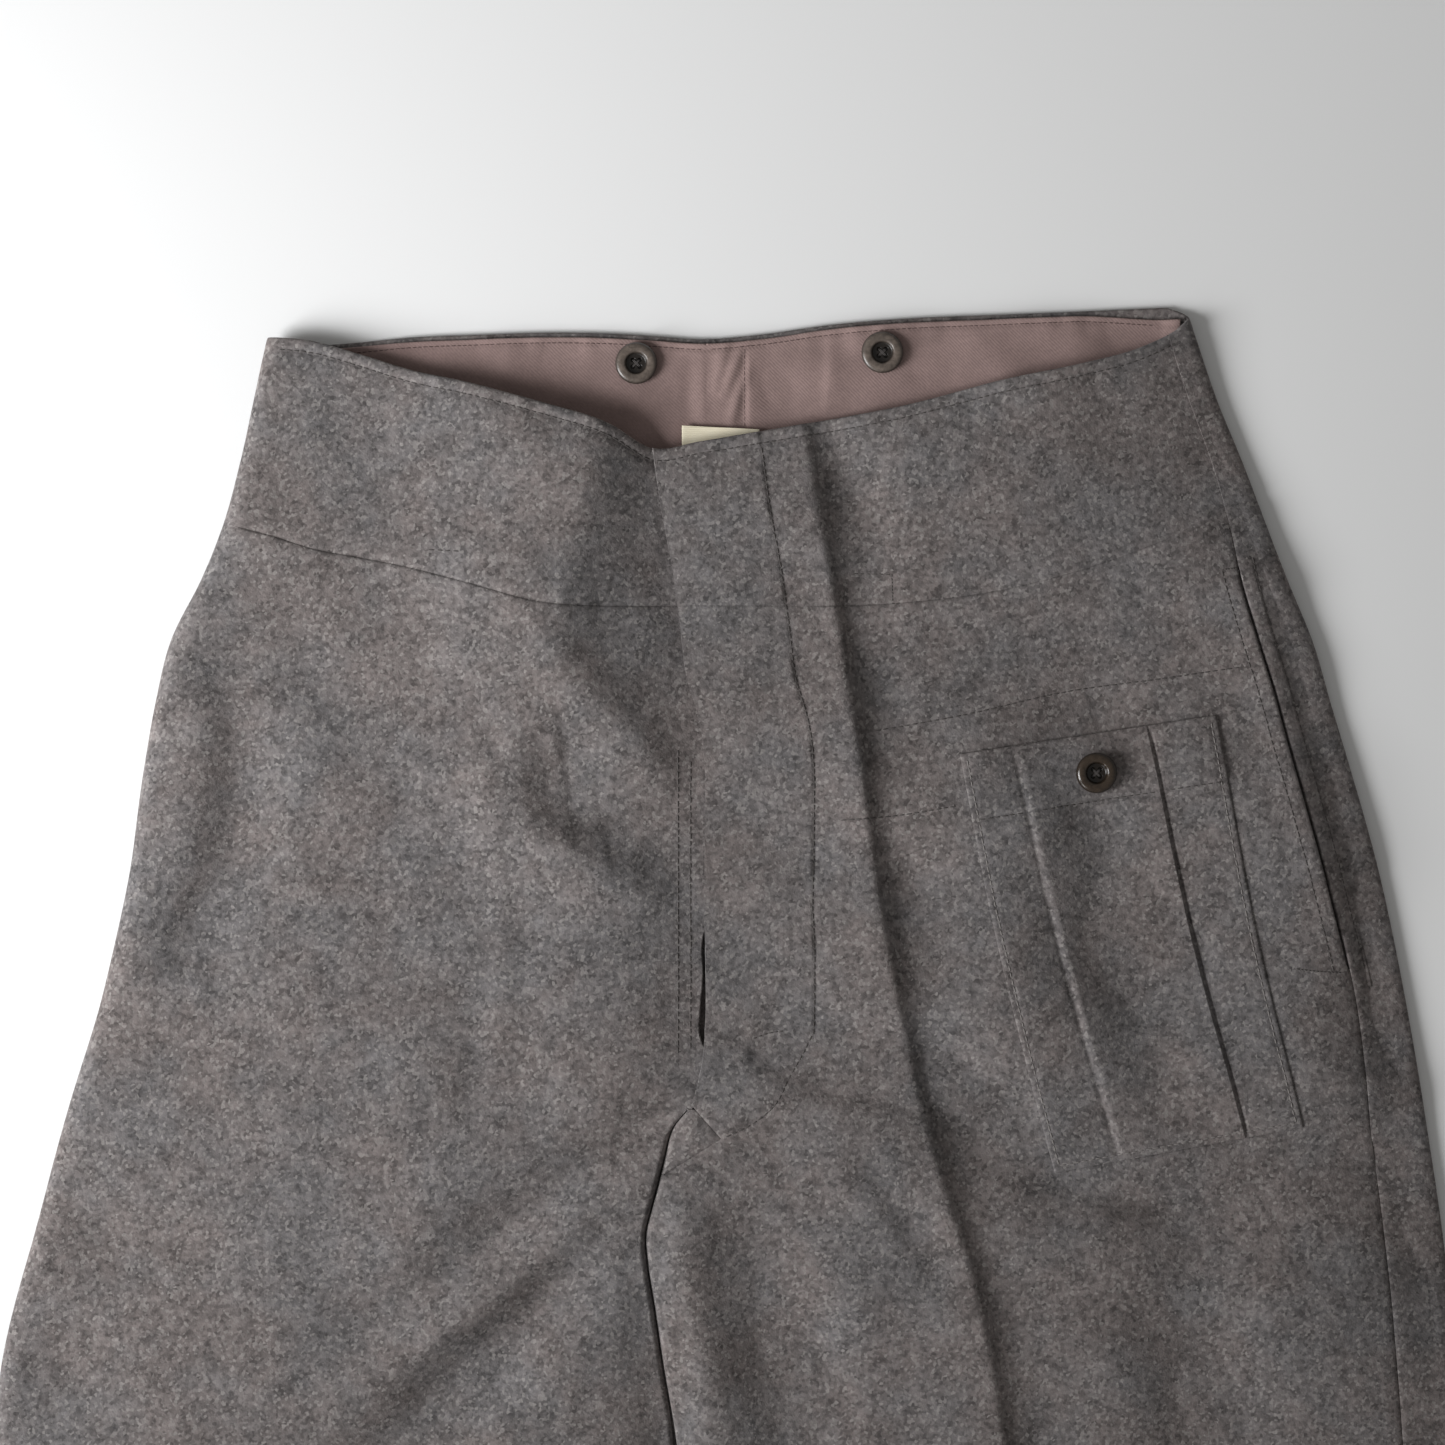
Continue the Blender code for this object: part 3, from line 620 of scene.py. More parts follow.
# %% Helpers for materials
def linear(code):
    """An sRGB hex colour as linear red, green, blue and alpha."""
    parts = np.array([int(code[k : k + 2], 16) / 255 for k in (1, 3, 5)])
    light = np.where(parts <= 0.04045, parts / 12.92, ((parts + 0.055) / 1.055) ** 2.4)
    return (*light.tolist(), 1.0)


def join(tree, node, links, **settings):
    """Sets a node's properties, or the defaults of its inputs, by name, and links its other inputs.

    A link's source is a socket, or a node, which stands for its first output.
    """
    for name, value in settings.items():
        if hasattr(node, name):
            setattr(node, name, value)
        else:
            node.inputs[name.replace("_", " ")].default_value = value
    for socket, source in links.items():
        tree.links.new(getattr(source, "outputs", [source])[0], node.inputs[socket])
    return node


def add(tree, kind, links=None, **settings):
    """A new node of any kind, set and linked."""
    return join(tree, tree.nodes.new("ShaderNode" + kind), links or {}, **settings)


def new_material(name, slot):
    """An empty Principled material: its tree, its shader and the place on the object in metres."""
    material = bpy.data.materials.new(name)
    material.use_nodes = True
    MATERIALS[slot] = material
    tree = material.node_tree
    return tree, tree.nodes["Principled BSDF"], add(tree, "TexCoord").outputs["Object"]


# %% [markdown]
# ## Milled wool
#
# The cloth is woollen serge, woven and then milled, so that the weave felts over with short fibres.
# The eye sees no threads but small tufts, each lighter or darker than the next, like salt and
# pepper. Larger clouds lie over them, and slow drifts between a bluer and a browner grey where it
# has been worn and pressed. The tufts are Voronoi cells of a tuft's real size, each with its own
# random shade. The rest is noise, with a grain size in millimetres for each. The surface is matt,
# and a little sheen stands for the fibres that light up at grazing angles.

# %% Wool: grain size in millimetres, detail and roughness of each noise
TUFT = 1.25
GRAINS = {
    "fleck": (2.0, 2.0, 0.62),
    "hair": (0.7, 1.0, 0.5),
    "clump": (4.0, 2.0, 0.6),
    "mottle": (3.0, 1.0, 0.6),
    "cloud": (10.0, 1.0, 0.9),
    "patch": (42.0, 3.0, 0.6),
}
tree, shader, place = new_material("milled_wool_serge", "wool")
grain = {
    name: add(tree, "TexNoise", {"Vector": place}, Scale=1 / (size * MM), Detail=detail, Roughness=rough)
    for name, (size, detail, rough) in GRAINS.items()
}
tuft = add(tree, "TexVoronoi", {"Vector": place}, Scale=1 / (TUFT * MM))
chance = add(tree, "SeparateColor", {"Color": tuft.outputs["Color"]}).outputs
bluer = add(tree, "MapRange", {"Value": grain["patch"]}, From_Min=0.4, From_Max=0.62)
ground = add(tree, "MixRGB", {"Fac": bluer}, Color1=linear("#6d6664"), Color2=linear("#696666"))
warm = add(tree, "MapRange", {"Value": grain["clump"]}, From_Min=0.35, From_Max=0.65, To_Max=0.08)
tinted = add(tree, "MixRGB", {"Fac": warm, "Color1": ground}, Color2=linear("#6d605b"))
tufted = add(tree, "MapRange", {"Value": chance["Red"]}, To_Max=0.56)
slow = add(tree, "Math", {0: grain["mottle"], 1: grain["cloud"]}, operation="ADD")
uneven = add(tree, "Math", {0: tufted, 1: slow}, operation="ADD")
shade = add(tree, "MapRange", {"Value": uneven}, From_Min=0.78, From_Max=1.78, To_Min=0.5, To_Max=1.5)
shaded = add(tree, "MixRGB", {"Color1": tinted, "Color2": shade}, blend_type="MULTIPLY", Fac=1.0)
dark = add(tree, "MapRange", {"Value": grain["fleck"]}, From_Min=0.42, From_Max=0.24, To_Max=0.45)
darker = add(tree, "MixRGB", {"Fac": dark, "Color1": shaded}, Color2=linear("#3d3836"))
light = add(tree, "MapRange", {"Value": chance["Green"]}, From_Min=0.72, To_Max=0.42)
lighter = add(tree, "MixRGB", {"Fac": light, "Color1": darker}, Color2=linear("#aaa5a1"))
nap = add(tree, "Math", {0: grain["fleck"], 1: grain["hair"]}, operation="ADD")
bump = add(tree, "Bump", {"Height": nap}, Strength=0.42, Distance=0.35 * MM)
join(
    tree,
    shader,
    {"Base Color": lighter, "Normal": bump},
    Roughness=0.92,
    Specular_IOR_Level=0.18,
    Sheen_Weight=0.22,
    Sheen_Roughness=0.55,
    Sheen_Tint=linear("#c9c6c4"),
)

# %% [markdown]
# ## Cotton drill
#
# The lining is drill, a hard cotton twill dyed mauve brown and softened by washing. Its fine
# diagonal is really 0.4 mm apart. It is drawn about 1.1 mm apart, so that a hint of it shows, and a
# slow noise makes the dye uneven. Blender's wave repeats every 0.314 units at a scale of 1, so that
# number over a distance is its scale. On the diagonal the same scale gives 1.4 times the distance.

# %% Drill
TWILL, FADING, SLUB, RIB = 0.8, 16, 1.1, 0.9
WAVE_UNIT = 0.314

tree, shader, place = new_material("washed_cotton_drill", "drill")
twill = add(
    tree,
    "TexWave",
    {"Vector": place},
    bands_direction="DIAGONAL",
    Scale=WAVE_UNIT / (TWILL * MM),
    Distortion=1.2,
    Detail=1.0,
)
faded = add(tree, "TexNoise", {"Vector": place}, Scale=1 / (FADING * MM), Detail=4.0, Roughness=0.6)
slub = add(tree, "TexNoise", {"Vector": place}, Scale=1 / (SLUB * MM), Detail=1.0)
worn = add(tree, "MapRange", {"Value": faded}, From_Min=0.35, From_Max=0.7)
dye = add(tree, "MixRGB", {"Fac": worn}, Color1=linear("#927c77"), Color2=linear("#a08883"))
thick_yarn = add(tree, "MapRange", {"Value": slub}, From_Min=0.3, From_Max=0.7, To_Max=0.22)
drill = add(tree, "MixRGB", {"Fac": thick_yarn, "Color1": dye}, Color2=linear("#5f4f50"))
bump = add(tree, "Bump", {"Height": twill.outputs["Fac"]}, Strength=0.35, Distance=0.15 * MM)
looks = {"Base Color": drill, "Normal": bump}
join(tree, shader, looks, Roughness=0.85, Specular_IOR_Level=0.25, Sheen_Weight=0.1)

# %% [markdown]
# ## Label tape, threads and button plastic
#
# The label is unbleached cotton tape with fine crosswise ribs, left blank. The sewing is dull
# cotton thread, close to the colour of what it sews, and paler round the pocket. The buttons are
# moulded dark brown plastic with swirls of a lighter brown on the rim. That lighter brown is partly
# rubbing and partly a painted highlight of the light caught on the raised rim. The brace buttons
# have lost their first polish, and the pocket button has kept more of it.

# %% Label, threads and plastic
tree, shader, place = new_material("unbleached_cotton_tape", "label")
ribs = add(
    tree, "TexWave", {"Vector": place}, bands_direction="Y", Scale=WAVE_UNIT / (RIB * MM), Distortion=0.6
)
soil = add(tree, "TexNoise", {"Vector": place}, Scale=1 / (5 * MM), Detail=3.0)
tape = add(tree, "MixRGB", {"Fac": soil}, Color1=linear("#fff7de"), Color2=linear("#f3e7c9"))
bump = add(tree, "Bump", {"Height": ribs.outputs["Fac"]}, Strength=0.4, Distance=0.15 * MM)
join(tree, shader, {"Base Color": tape, "Normal": bump}, Roughness=0.85)

for slot, name, first, second in (
    ("grey thread", "grey_cotton_thread", "#4b4745", "#5c5755"),
    ("pale thread", "pale_grey_cotton_thread", "#77726f", "#8b8683"),
    ("brown thread", "brown_cotton_thread", "#52423f", "#6b5855"),
):
    tree, shader, place = new_material(name, slot)
    twist = add(tree, "TexNoise", {"Vector": place}, Scale=1 / (0.8 * MM), Detail=1.0)
    colour = add(tree, "MixRGB", {"Fac": twist}, Color1=linear(first), Color2=linear(second))
    join(tree, shader, {"Base Color": colour}, Roughness=0.8, Specular_IOR_Level=0.3)

for slot, name, first, second, smoothest, roughest in (
    ("worn button", "worn_brown_plastic", "#211c18", "#83766c", 0.25, 0.45),
    ("glossy button", "glossy_brown_plastic", "#1c1610", "#4a3d31", 0.14, 0.3),
):
    tree, shader, place = new_material(name, slot)
    swirl = add(tree, "TexNoise", {"Vector": place}, Scale=1 / (3 * MM), Detail=3.0, Distortion=1.5)
    scuff = add(tree, "TexNoise", {"Vector": place}, Scale=1 / (0.5 * MM), Detail=2.0)
    # How much of the paler brown a place gets: partly rubbing, partly a painted highlight on the raised rim
    rubbed = add(tree, "Attribute", attribute_name="rubbed").outputs["Fac"]
    paler = add(tree, "Math", {0: rubbed, 1: swirl}, operation="MULTIPLY")
    plastic = add(tree, "MixRGB", {"Fac": paler}, Color1=linear(first), Color2=linear(second))
    polish = add(
        tree, "MapRange", {"Value": scuff}, From_Min=0.3, From_Max=0.7, To_Min=smoothest, To_Max=roughest
    )
    join(tree, shader, {"Base Color": plastic, "Roughness": polish}, IOR=1.54)
print("materials:", [material.name for material in MATERIALS.values()])

# %% [markdown]
# ## Grids that follow the cut
#
# Fine things need fine cells, but only where they are. So the columns of a grid run through named
# stations, such as the fly stitch or the pressed crease, with a number of cells for each stretch
# between two of them. The rows do the same from the waist seam to the hem. A row that follows the
# waist seam depends on its place across, and a column on its place down, so the two are worked out
# in turn until they settle.

# %% Stations, and how rows and columns settle
SEAM, RIM, JUMP = 0.06, 0.9, 0.1
SEAM_FADES, PHOTO_END, FINE_HEM = 180, 490, 46
SETTLE_ROUNDS = 8


def through(counts):
    """Weights of stations by lines: each stretch between two stations is cut into so many cells."""
    lines = [np.arange(n) / n + k for k, n in enumerate(counts)]
    spot = np.concatenate([*lines, [len(counts)]])
    stations = np.arange(len(counts) + 1)[:, None]
    return np.clip(1 - np.abs(spot[None] - stations), 0, 1)


def settle(across_of, down_of, shape):
    """The across and down of each grid point, found by working out each from the other in turn."""
    down = np.full(shape, 200.0)
    for _ in range(SETTLE_ROUNDS):
        down = down_of(across_of(down))
    return across_of(down), down


def rows_through(counts, stations_of):
    """A function that gives each row's down from its across, and the number of rows."""
    weights = through(counts)

    def down_of(across):
        return np.einsum("src,sr->rc", np.stack(stations_of(across)), weights)

    return down_of, weights.shape[1]


def body_rows(seam_column):
    """Rows of a leg panel, from just below the waist seam to the hem."""
    fork = [FORK_START, FORK - JUMP, FORK + JUMP, FORK_TIP, FORK_END - JUMP, FORK_END + JUMP]
    levels = [SEAM_FADES, *fork, PHOTO_END, LENGTH - FINE_HEM, LENGTH - 3, LENGTH - RIM]

    def stations_of(across):
        seam = read(BAND, seam_column, across) + SEAM / 2
        return [seam, seam + 1.6, seam + 9, *(level + 0 * seam for level in levels)]

    return rows_through([4, 6, 20, 100, 2, 1, 11, 11, 1, 70, 96, 30, 6], stations_of)


def band_rows(top_column, seam_column):
    """Rows of a band, from its rounded top edge to just above the waist seam."""

    def stations_of(across):
        top = read(BAND, top_column, across) + RIM
        seam = read(BAND, seam_column, across) - SEAM / 2
        return [top, top + 1.2, top + 4.2, top + 6.4, top + 12, seam - 9, seam - 1.6, seam]

    return rows_through([4, 8, 8, 6, 34, 12, 4], stations_of)


# %% [markdown]
# ## The two fronts
#
# Above the fork a front starts flat at the fly. Below it, its inner edge rolls down to meet the
# back at half height, and the right front does the same along its outline. The left front stops on
# top instead, at its side seam, where the mouth of the side pocket lies. The roll is a quarter
# ellipse. On the right front it comes in over the first centimetre below the fork, and on the left
# one at once, below the fork piece.

# %% Fronts and front bands
WOOL, FLY_THINNER, FLY_INSET, UNDERLAP_RIM = 1.9, 0.4, 0.8, 0.6
ROLL_INNER, ROLL_OUTER, ROLL_STEPS = 2.6, 9.0, 12
EDGE_SEAM, FORK_GAP, MOUTH_GAP, MOUTH_RIM = 0.8, 0.9, 1.6, 0.8
TURN = np.radians(np.linspace(0, 90, ROLL_STEPS + 1))
TURN_BACK = TURN[-2::-1]
STRETCHES = {"right": [40, 96], "left": [26, 10, 24, 24, 90, 8]}


def front_lines(side, down):
    """The inner edge of a front at each level, and its outer one."""
    if side == "right":
        inner = np.where(down < FORK, read(FLY, "under", down), read(LEGS, "right", down))
        return inner, read(OUTLINE, "right", down) + ROLL_OUTER
    inner = np.where(down < FORK, read(FLY, "edge", down), read(LEGS, "left", down))
    inner = inner + FLY_INSET * (down < FORK_START)
    inner = np.where((down >= FORK_START) & (down <= FORK_END), fork_seam(down) + SEAM / 2, inner)
    return inner, side_seam(down) - SEAM / 2 - mouth_open(down) * (MOUTH_GAP / 2 + MOUTH_RIM)


def half_gap(down, fork):
    """Half of the gap between front and back at a rolled edge, which is wider just below the fork."""
    return EDGE_SEAM / 2 + FORK_GAP * (1 - ease((down - fork) / 50))


def front(side, node, rows_of, top_edge):
    """A front or a front band: columns from the fly or inner leg over the top to the side."""
    down_of, rows = rows_of
    right = side == "right"
    way, top, fork, roll_run = (-1, right_top, FORK, 10) if right else (1, left_top, FORK_END, 0.1)
    weights = through(STRETCHES[side])[:, 1:]
    rolled = slice(0, ROLL_STEPS + 1)
    flat = slice(rolled.stop, rolled.stop + weights.shape[1])
    turned = slice(flat.stop, flat.stop + (ROLL_STEPS if right else 0))
    shape = (rows, turned.stop)
    share = np.arange(ROLL_STEPS + 1) / ROLL_STEPS

    def across_of(down):
        inner, outer = front_lines(side, down)
        start = inner + way * ROLL_INNER
        across = np.empty(shape)
        even = inner[:, rolled] + way * ROLL_INNER * share
        curled = start[:, rolled] - way * ROLL_INNER * np.cos(TURN)
        across[:, rolled] = even + (curled - even) * ease((down[:, rolled] - fork) / roll_run)
        if right:
            stations = [start, start - 56, outer]
            across[:, turned] = outer[:, turned] - ROLL_OUTER * np.cos(TURN_BACK)
        else:
            stitch, crease = fly_stitch(down), read(CREASE, "left", down)
            stations = [start, stitch - 3, stitch + 3, crease - 12, crease + 14, outer - 6, outer]
        across[:, flat] = np.einsum("src,sc->rc", np.stack(stations)[:, :, flat], weights)
        return across

    across, down = settle(across_of, down_of, shape)
    up = top(across, down)
    inner, outer = front_lines(side, down)
    near = top((inner + way * ROLL_INNER)[:, rolled], down[:, rolled]) / 2
    clear = half_gap(down[:, rolled], fork)
    roll = ease((down[:, rolled] - fork) / roll_run)
    up[:, rolled] += (near + clear + (near - clear) * np.sin(TURN) - up[:, rolled]) * roll
    free_inner, free_outer, wall = np.zeros(rows), MOUTH_RIM * mouth_open(down[:, -1]), WOOL
    if right:
        half = top(outer[:, turned], down[:, turned]) / 2
        up[:, turned] = half + EDGE_SEAM / 2 + (half - EDGE_SEAM / 2) * np.sin(TURN_BACK)
        free_inner, free_outer = UNDERLAP_RIM * (down[:, 0] < FORK_START - 16), free_inner
    else:
        thinner = FLY_THINNER * fade(across - inner, 9) * (1 - ease((down - FORK + 10) / 20))
        wall = WOOL - thinner
    swell = (RIM if top_edge else 0, 0 if top_edge else RIM, free_inner, free_outer)
    under = ["right_back", "left_back", "fly_underlap"]
    cloth(node + "_cloth", placed(across, down, up), wall, node, under, swell=swell, flip=right)


for side in ("right", "left"):
    front(side, side + "_front", body_rows("seam"), False)
    front(side, side + "_front_band", band_rows("front_top", "seam"), True)

# %% [markdown]
# ## The two backs
#
# Most of a back lies on the floor and is flat. What shows is its turn up the outer edge: on the
# right it stops at half height, at a side seam on the outline, and on the left it goes right over
# the edge to the side seam on top. There the back's cloth runs on under the mouth of the pocket.

# %% Backs and back bands
FACING_LINE, FACING_DEEP = 7.0, 0.5
SLIT_FLOOR = 0.7
CORNER, WRAP_SHARE, FLAT_COLUMNS = 60, 0.7, 30
SEAT_SEAM = ((0, 95, FORK), (-2.5, -3, -19.5))
OVER_COUNTS = [6, 14, 12, 8]
OVER_STATIONS = ((1.5, 0.2), (FACING_LINE - 1, 0.5), (FACING_LINE + 2, 0.75))


def back_over(across, down):
    """The outside of the left back where it comes over the edge, with its seam and a sewn line."""
    seam = across - side_seam(down)
    line = seam - FACING_LINE
    sewn = between(down, MOUTH_START - 14, MOUTH_END + 12, 26, 8)
    groove = -FACING_DEEP * sewn * ease((line + 0.9) / 1.1) * fade(line, 6)
    return right_top(across, down) + side_ditch(seam, down, 1.2) + groove


def back(side, node, rows_of, top_edge):
    """A back or a back band: down round the outer edge, flat below, up at the inner leg."""
    down_of, rows = rows_of
    right = side == "right"
    way, leg_top = (-1, right_top) if right else (1, left_top)
    over = 0 if right else sum(OVER_COUNTS)
    turn = slice(over, over + (0 if right else ROLL_STEPS))
    low = slice(turn.stop, turn.stop + ROLL_STEPS + 1)
    level = slice(low.stop, low.stop + FLAT_COLUMNS)
    last = slice(level.stop, level.stop + ROLL_STEPS)
    shape = (rows, last.stop)

    def lay(down):
        """Across and up of the whole grid from its down."""
        width = np.full(shape, ROLL_OUTER)
        if not right:
            width = np.minimum(width, WRAP_SHARE * (read(OUTLINE, "left", down) - side_seam(down)))
        outer = read(OUTLINE, side, down) - way * width
        centre = np.interp(down, *SEAT_SEAM) + way * SEAM / 2
        inner = np.where(down < FORK, centre, read(LEGS, side, down) - way * SLIT_FLOOR)
        across, up = np.empty(shape), np.zeros(shape)
        half = right_top(outer[:, over : over + 1], down[:, over : over + 1]) / 2
        if not right:
            seam = side_seam(down) + SEAM / 2 + mouth_open(down) * MOUTH_GAP / 2
            between = [seam + np.minimum(reach, share * (outer - seam)) for reach, share in OVER_STATIONS]
            stations = np.stack([seam, *between, outer])[:, :, :over]
            across[:, :over] = np.einsum("src,sc->rc", stations, through(OVER_COUNTS)[:, :-1])
            up[:, :over] = back_over(across[:, :over], down[:, :over])
            across[:, turn] = outer[:, turn] + width[:, turn] * np.cos(TURN[:0:-1])
            up[:, turn] = half * (1 + np.sin(TURN[:0:-1]))
        across[:, low] = outer[:, low] + way * width[:, low] * np.cos(TURN)
        up[:, low] = (half - (EDGE_SEAM / 2 if right else 0)) * (1 - np.sin(TURN))
        start = inner + way * ROLL_INNER
        share = np.arange(1, FLAT_COLUMNS + 1) / FLAT_COLUMNS
        across[:, level] = outer[:, level] + (start - outer)[:, level] * share
        roll = ease((down[:, last] - FORK) / 10)
        even = start[:, last] - way * ROLL_INNER * np.arange(1, ROLL_STEPS + 1) / ROLL_STEPS
        curled = start[:, last] - way * ROLL_INNER * np.cos(TURN_BACK)
        across[:, last] = even + (curled - even) * roll
        near = leg_top(start[:, last], down[:, last]) / 2 - half_gap(down[:, last], FORK)
        up[:, last] = near * (1 - np.sin(TURN_BACK)) * roll
        return across, up

    climb = np.linspace(1, 0, low.stop - over)
    on_top = np.concatenate([np.ones(over), climb, np.zeros(last.stop - low.stop)])

    def rim_down(across):
        """Round the corner the back's top edge climbs from its own line to the line of the front's."""
        down = down_of(across)
        if right or not top_edge:
            return down
        drop = read(BAND, "front_top", across) - read(BAND, "back_top", across)
        return down + drop * on_top * (1 - np.clip((down - down[:1]) / CORNER, 0, 1)) ** 2

    def across_of(down):
        return lay(down)[0]

    across, down = settle(across_of, rim_down, shape)
    free = 0 if right else MOUTH_RIM * mouth_open(down[:, 0])
    swell = (RIM if top_edge else 0, 0 if top_edge else RIM, free, 0)
    points = placed(across, down, lay(down)[1])
    cloth(node + "_cloth", points, WOOL, node, [], swell=swell, flip=right)


for side in ("right", "left"):
    back(side, side + "_back", body_rows("back_seam"), False)
    back(side, side + "_back_band", band_rows("back_top", "back_seam"), True)

# %% [markdown]
# ## The lining and its label
#
# Drill is thinner and harder than wool, so it shows every pull of the thread. Each half is turned
# under and stitched along its top, close below the wool's edge, and runs on down under the front.
# Between the two lines at the middle the spare cloth has been sewn down in slanting puckers. It
# lies flat under each brace button. The label is a piece of tape, blank, turned a little, with most
# of it under the front.

# %% Lining and label
DRILL, LINING_HEIGHT, LINING_TOP, LINING_STITCH = 0.9, 3.3, 2.6, 2.0
LINING_ENDS, LINING_FINE, LINING_FOOT = {"right": (-7, -183), "left": (-7, 197.2)}, 60, 90
TAPE_MIDDLE, TAPE_SIZE, TAPE_WALL, TAPE_TURN = (-0.8, 62.4), (33, 20), 0.4, 0.05
BRACE_BUTTONS = {"right": (-37.2, 24.5), "left": (69.0, 19.8)}
LINING_FOLDS = {
    "pleat edge": (1.2, 0.8, 5.0, (11.4, 14), (11.8, 34), (11.6, 60)),
    "first pucker": (1.3, 2.0, 1.5, (9.6, 15), (5, 27), (0, 40)),
    "second pucker": (1.2, 1.8, 1.5, (11, 27), (6.5, 39), (3, 54)),
    "third pucker": (0.8, 2.0, 1.4, (2.4, 14), (-1, 27), (-4, 38)),
    "seam ridge": (0.4, 2.6, 1.4, (-8.6, 14), (-8.8, 36), (-8.6, 60)),
    "hollow beside the ridge": (-0.5, 2.4, 2.4, (-14, 20), (-15, 38), (-14, 56)),
    "far crease": (0.45, 1.4, 3.6, (47, 12), (46.4, 28), (45, 50)),
    "slack on the left": (0.9, 12, 8, (-96, 20), (-86, 34), (-70, 50)),
    "slack on the right": (0.8, 9, 12, (104, 8), (112, 24), (116, 44)),
    "slack near the corner": (0.6, 8, 8, (148, 6), (156, 20), (160, 34)),
}


def lining_edge(across):
    """Down of the lining's top edge, which leaves the band's and slants down towards the left corner."""
    return read(BAND, "back_top", across) + LINING_TOP + 3.4 * ease((across - 150) / 46)


def lining_top(across, down):
    """The outside of the lining: its folds, its turned top edge and the groove of the stitches there."""
    edge = down - lining_edge(across)
    height = LINING_HEIGHT + folds(LINING_FOLDS, across, down) + 0.35 * waves(across * 2, down * 2)
    near_button = sum(bell(np.hypot(across - x, down - y) / 6) for x, y in BRACE_BUTTONS.values())
    height = height + (LINING_HEIGHT - height) * np.minimum(near_button, 1)
    height = height + 0.35 * ease(1 - edge / 6) - 0.4 * bell((edge - LINING_STITCH) / 0.8)
    height = height + puckers(across, edge - LINING_STITCH, 0.2) + 1.6 * ease((across - 186) / 12)
    return np.maximum(height, LINING_HEIGHT - 0.3)


def lining(side):
    """Half of the lining, from its turned top edge down under the front."""
    node, rests = "back_lining_" + side, [side + "_back_band", side + "_back"]
    weights = through([6, 10, 34, 14])
    across = np.linspace(*LINING_ENDS[side], 161)[None, :] + np.zeros((weights.shape[1], 1))
    top = lining_edge(across[:1])
    levels = np.concatenate([top, top + 1.5, top + 7, 0 * top + LINING_FINE, 0 * top + LINING_FOOT])
    down = np.einsum("sc,sr->rc", levels, weights)
    points, swell = placed(across, down, lining_top(across, down)), (DRILL / 2, 0, 0, DRILL / 2)
    cloth(node + "_cloth", points, DRILL, node, rests, slot="drill", swell=swell, flip=side == "right")


def size_label():
    """A blank tape, turned by a few degrees, and curled up a little along its top."""
    (across, down), (wide, high) = TAPE_MIDDLE, TAPE_SIZE
    from_middle = wide * (np.linspace(0, 1, 41)[None, :] - 0.5)
    down = down + high * (np.linspace(0, 1, 25)[:, None] - 0.5) + TAPE_TURN * from_middle
    across = across + from_middle + 0 * down
    up = LINING_HEIGHT + 1.1 + 1.1 * ease((60 - down) / 9) + 0.25 * np.sin(across / 5)
    points, rests = placed(across, down, up), ["back_lining_right", "back_lining_left"]
    cloth("size_label_tape", points, TAPE_WALL, "size_label", rests, slot="label", swell=(TAPE_WALL / 2,) * 4)


for side in ("right", "left"):
    lining(side)
size_label()

# %% [markdown]
# ## Pieces under the fly, the fork and the pocket mouth
#
# The underlap is the strip that carries the fly's buttons. It shows only as a dark line in the
# slit. The fork piece is the little gusset that takes the strain where four seams would meet. The
# facing is the cloth that shows inside the side pocket's mouth, and without it there would be a
# hole there.


# %% Underlap, facing and fork piece
def hidden_strip(node, rests_on, down_ends, line, offsets, drop, least, wall):
    """A strip under the fronts: a grid along a table's line, some way below the outside of the cloth."""
    down = np.linspace(*down_ends, 121)[:, None]
    across = read(*line, down) + np.linspace(*offsets, 33)[None, :]
    across, down = np.broadcast_arrays(across, down)
    up = np.maximum(right_top(across, down) - drop, least)
    cloth(node + "_cloth", placed(across, down, up), wall, node, rests_on, swell=(wall / 2,) * 4)


def fork_piece():
    """The gusset: it rolls up from the inner leg like the left front, and ends at that front's seam."""
    down = np.linspace(FORK, FORK_END - 0.3, 49)[:, None]
    inner, seam = read(LEGS, "left", down), fork_seam(down) - SEAM / 2
    roll = np.minimum(ROLL_INNER, (seam - inner) * 0.6)
    beyond = inner + roll + (seam - inner - roll) * np.linspace(0, 1, 21)[1:]
    across = np.concatenate([inner + roll * (1 - np.cos(TURN)), beyond], axis=1)
    half = left_top(inner + ROLL_INNER, down) / 2 + EDGE_SEAM / 2
    half = half + (left_top(inner, down) - half) * (1 - ease((down - FORK) / 10))
    top = left_top(across, down)
    turn = top[:, ROLL_STEPS : ROLL_STEPS + 1]
    up = np.concatenate([half + (turn - half) * np.sin(TURN), top[:, ROLL_STEPS + 1 :]], axis=1)
    cloth("fork_piece_cloth", placed(across, down, up), WOOL, "fork_piece", ["right_back", "left_back"])


mouth_ends, seam_line = (MOUTH_START - 4, MOUTH_END + 6), (OUTLINE, "side_seam")
hidden_strip("fly_underlap", ["right_front"], (70, 334), (FLY, "edge"), (-9, 40), 2.9, 5.8, WOOL)
hidden_strip("side_pocket_facing", ["left_back"], mouth_ends, seam_line, (-20, 8), 2.8, 4.5, 1.3)
fork_piece()

# %% [markdown]
# ## The dressing pocket
#
# This patch is sewn down on three sides. Its loose middle panel is a box pleat, so that the pocket
# can swell. Seen from the front, the panel rises softly at its left fold, sags in the middle, and
# stands highest at its right fold, where it drops sharply to the flat margin and leaves a dark
# slit. The mouth at the top has a deep hem. The patch lies pressed on the front, so its wall is
# only as thick as the room between the two.

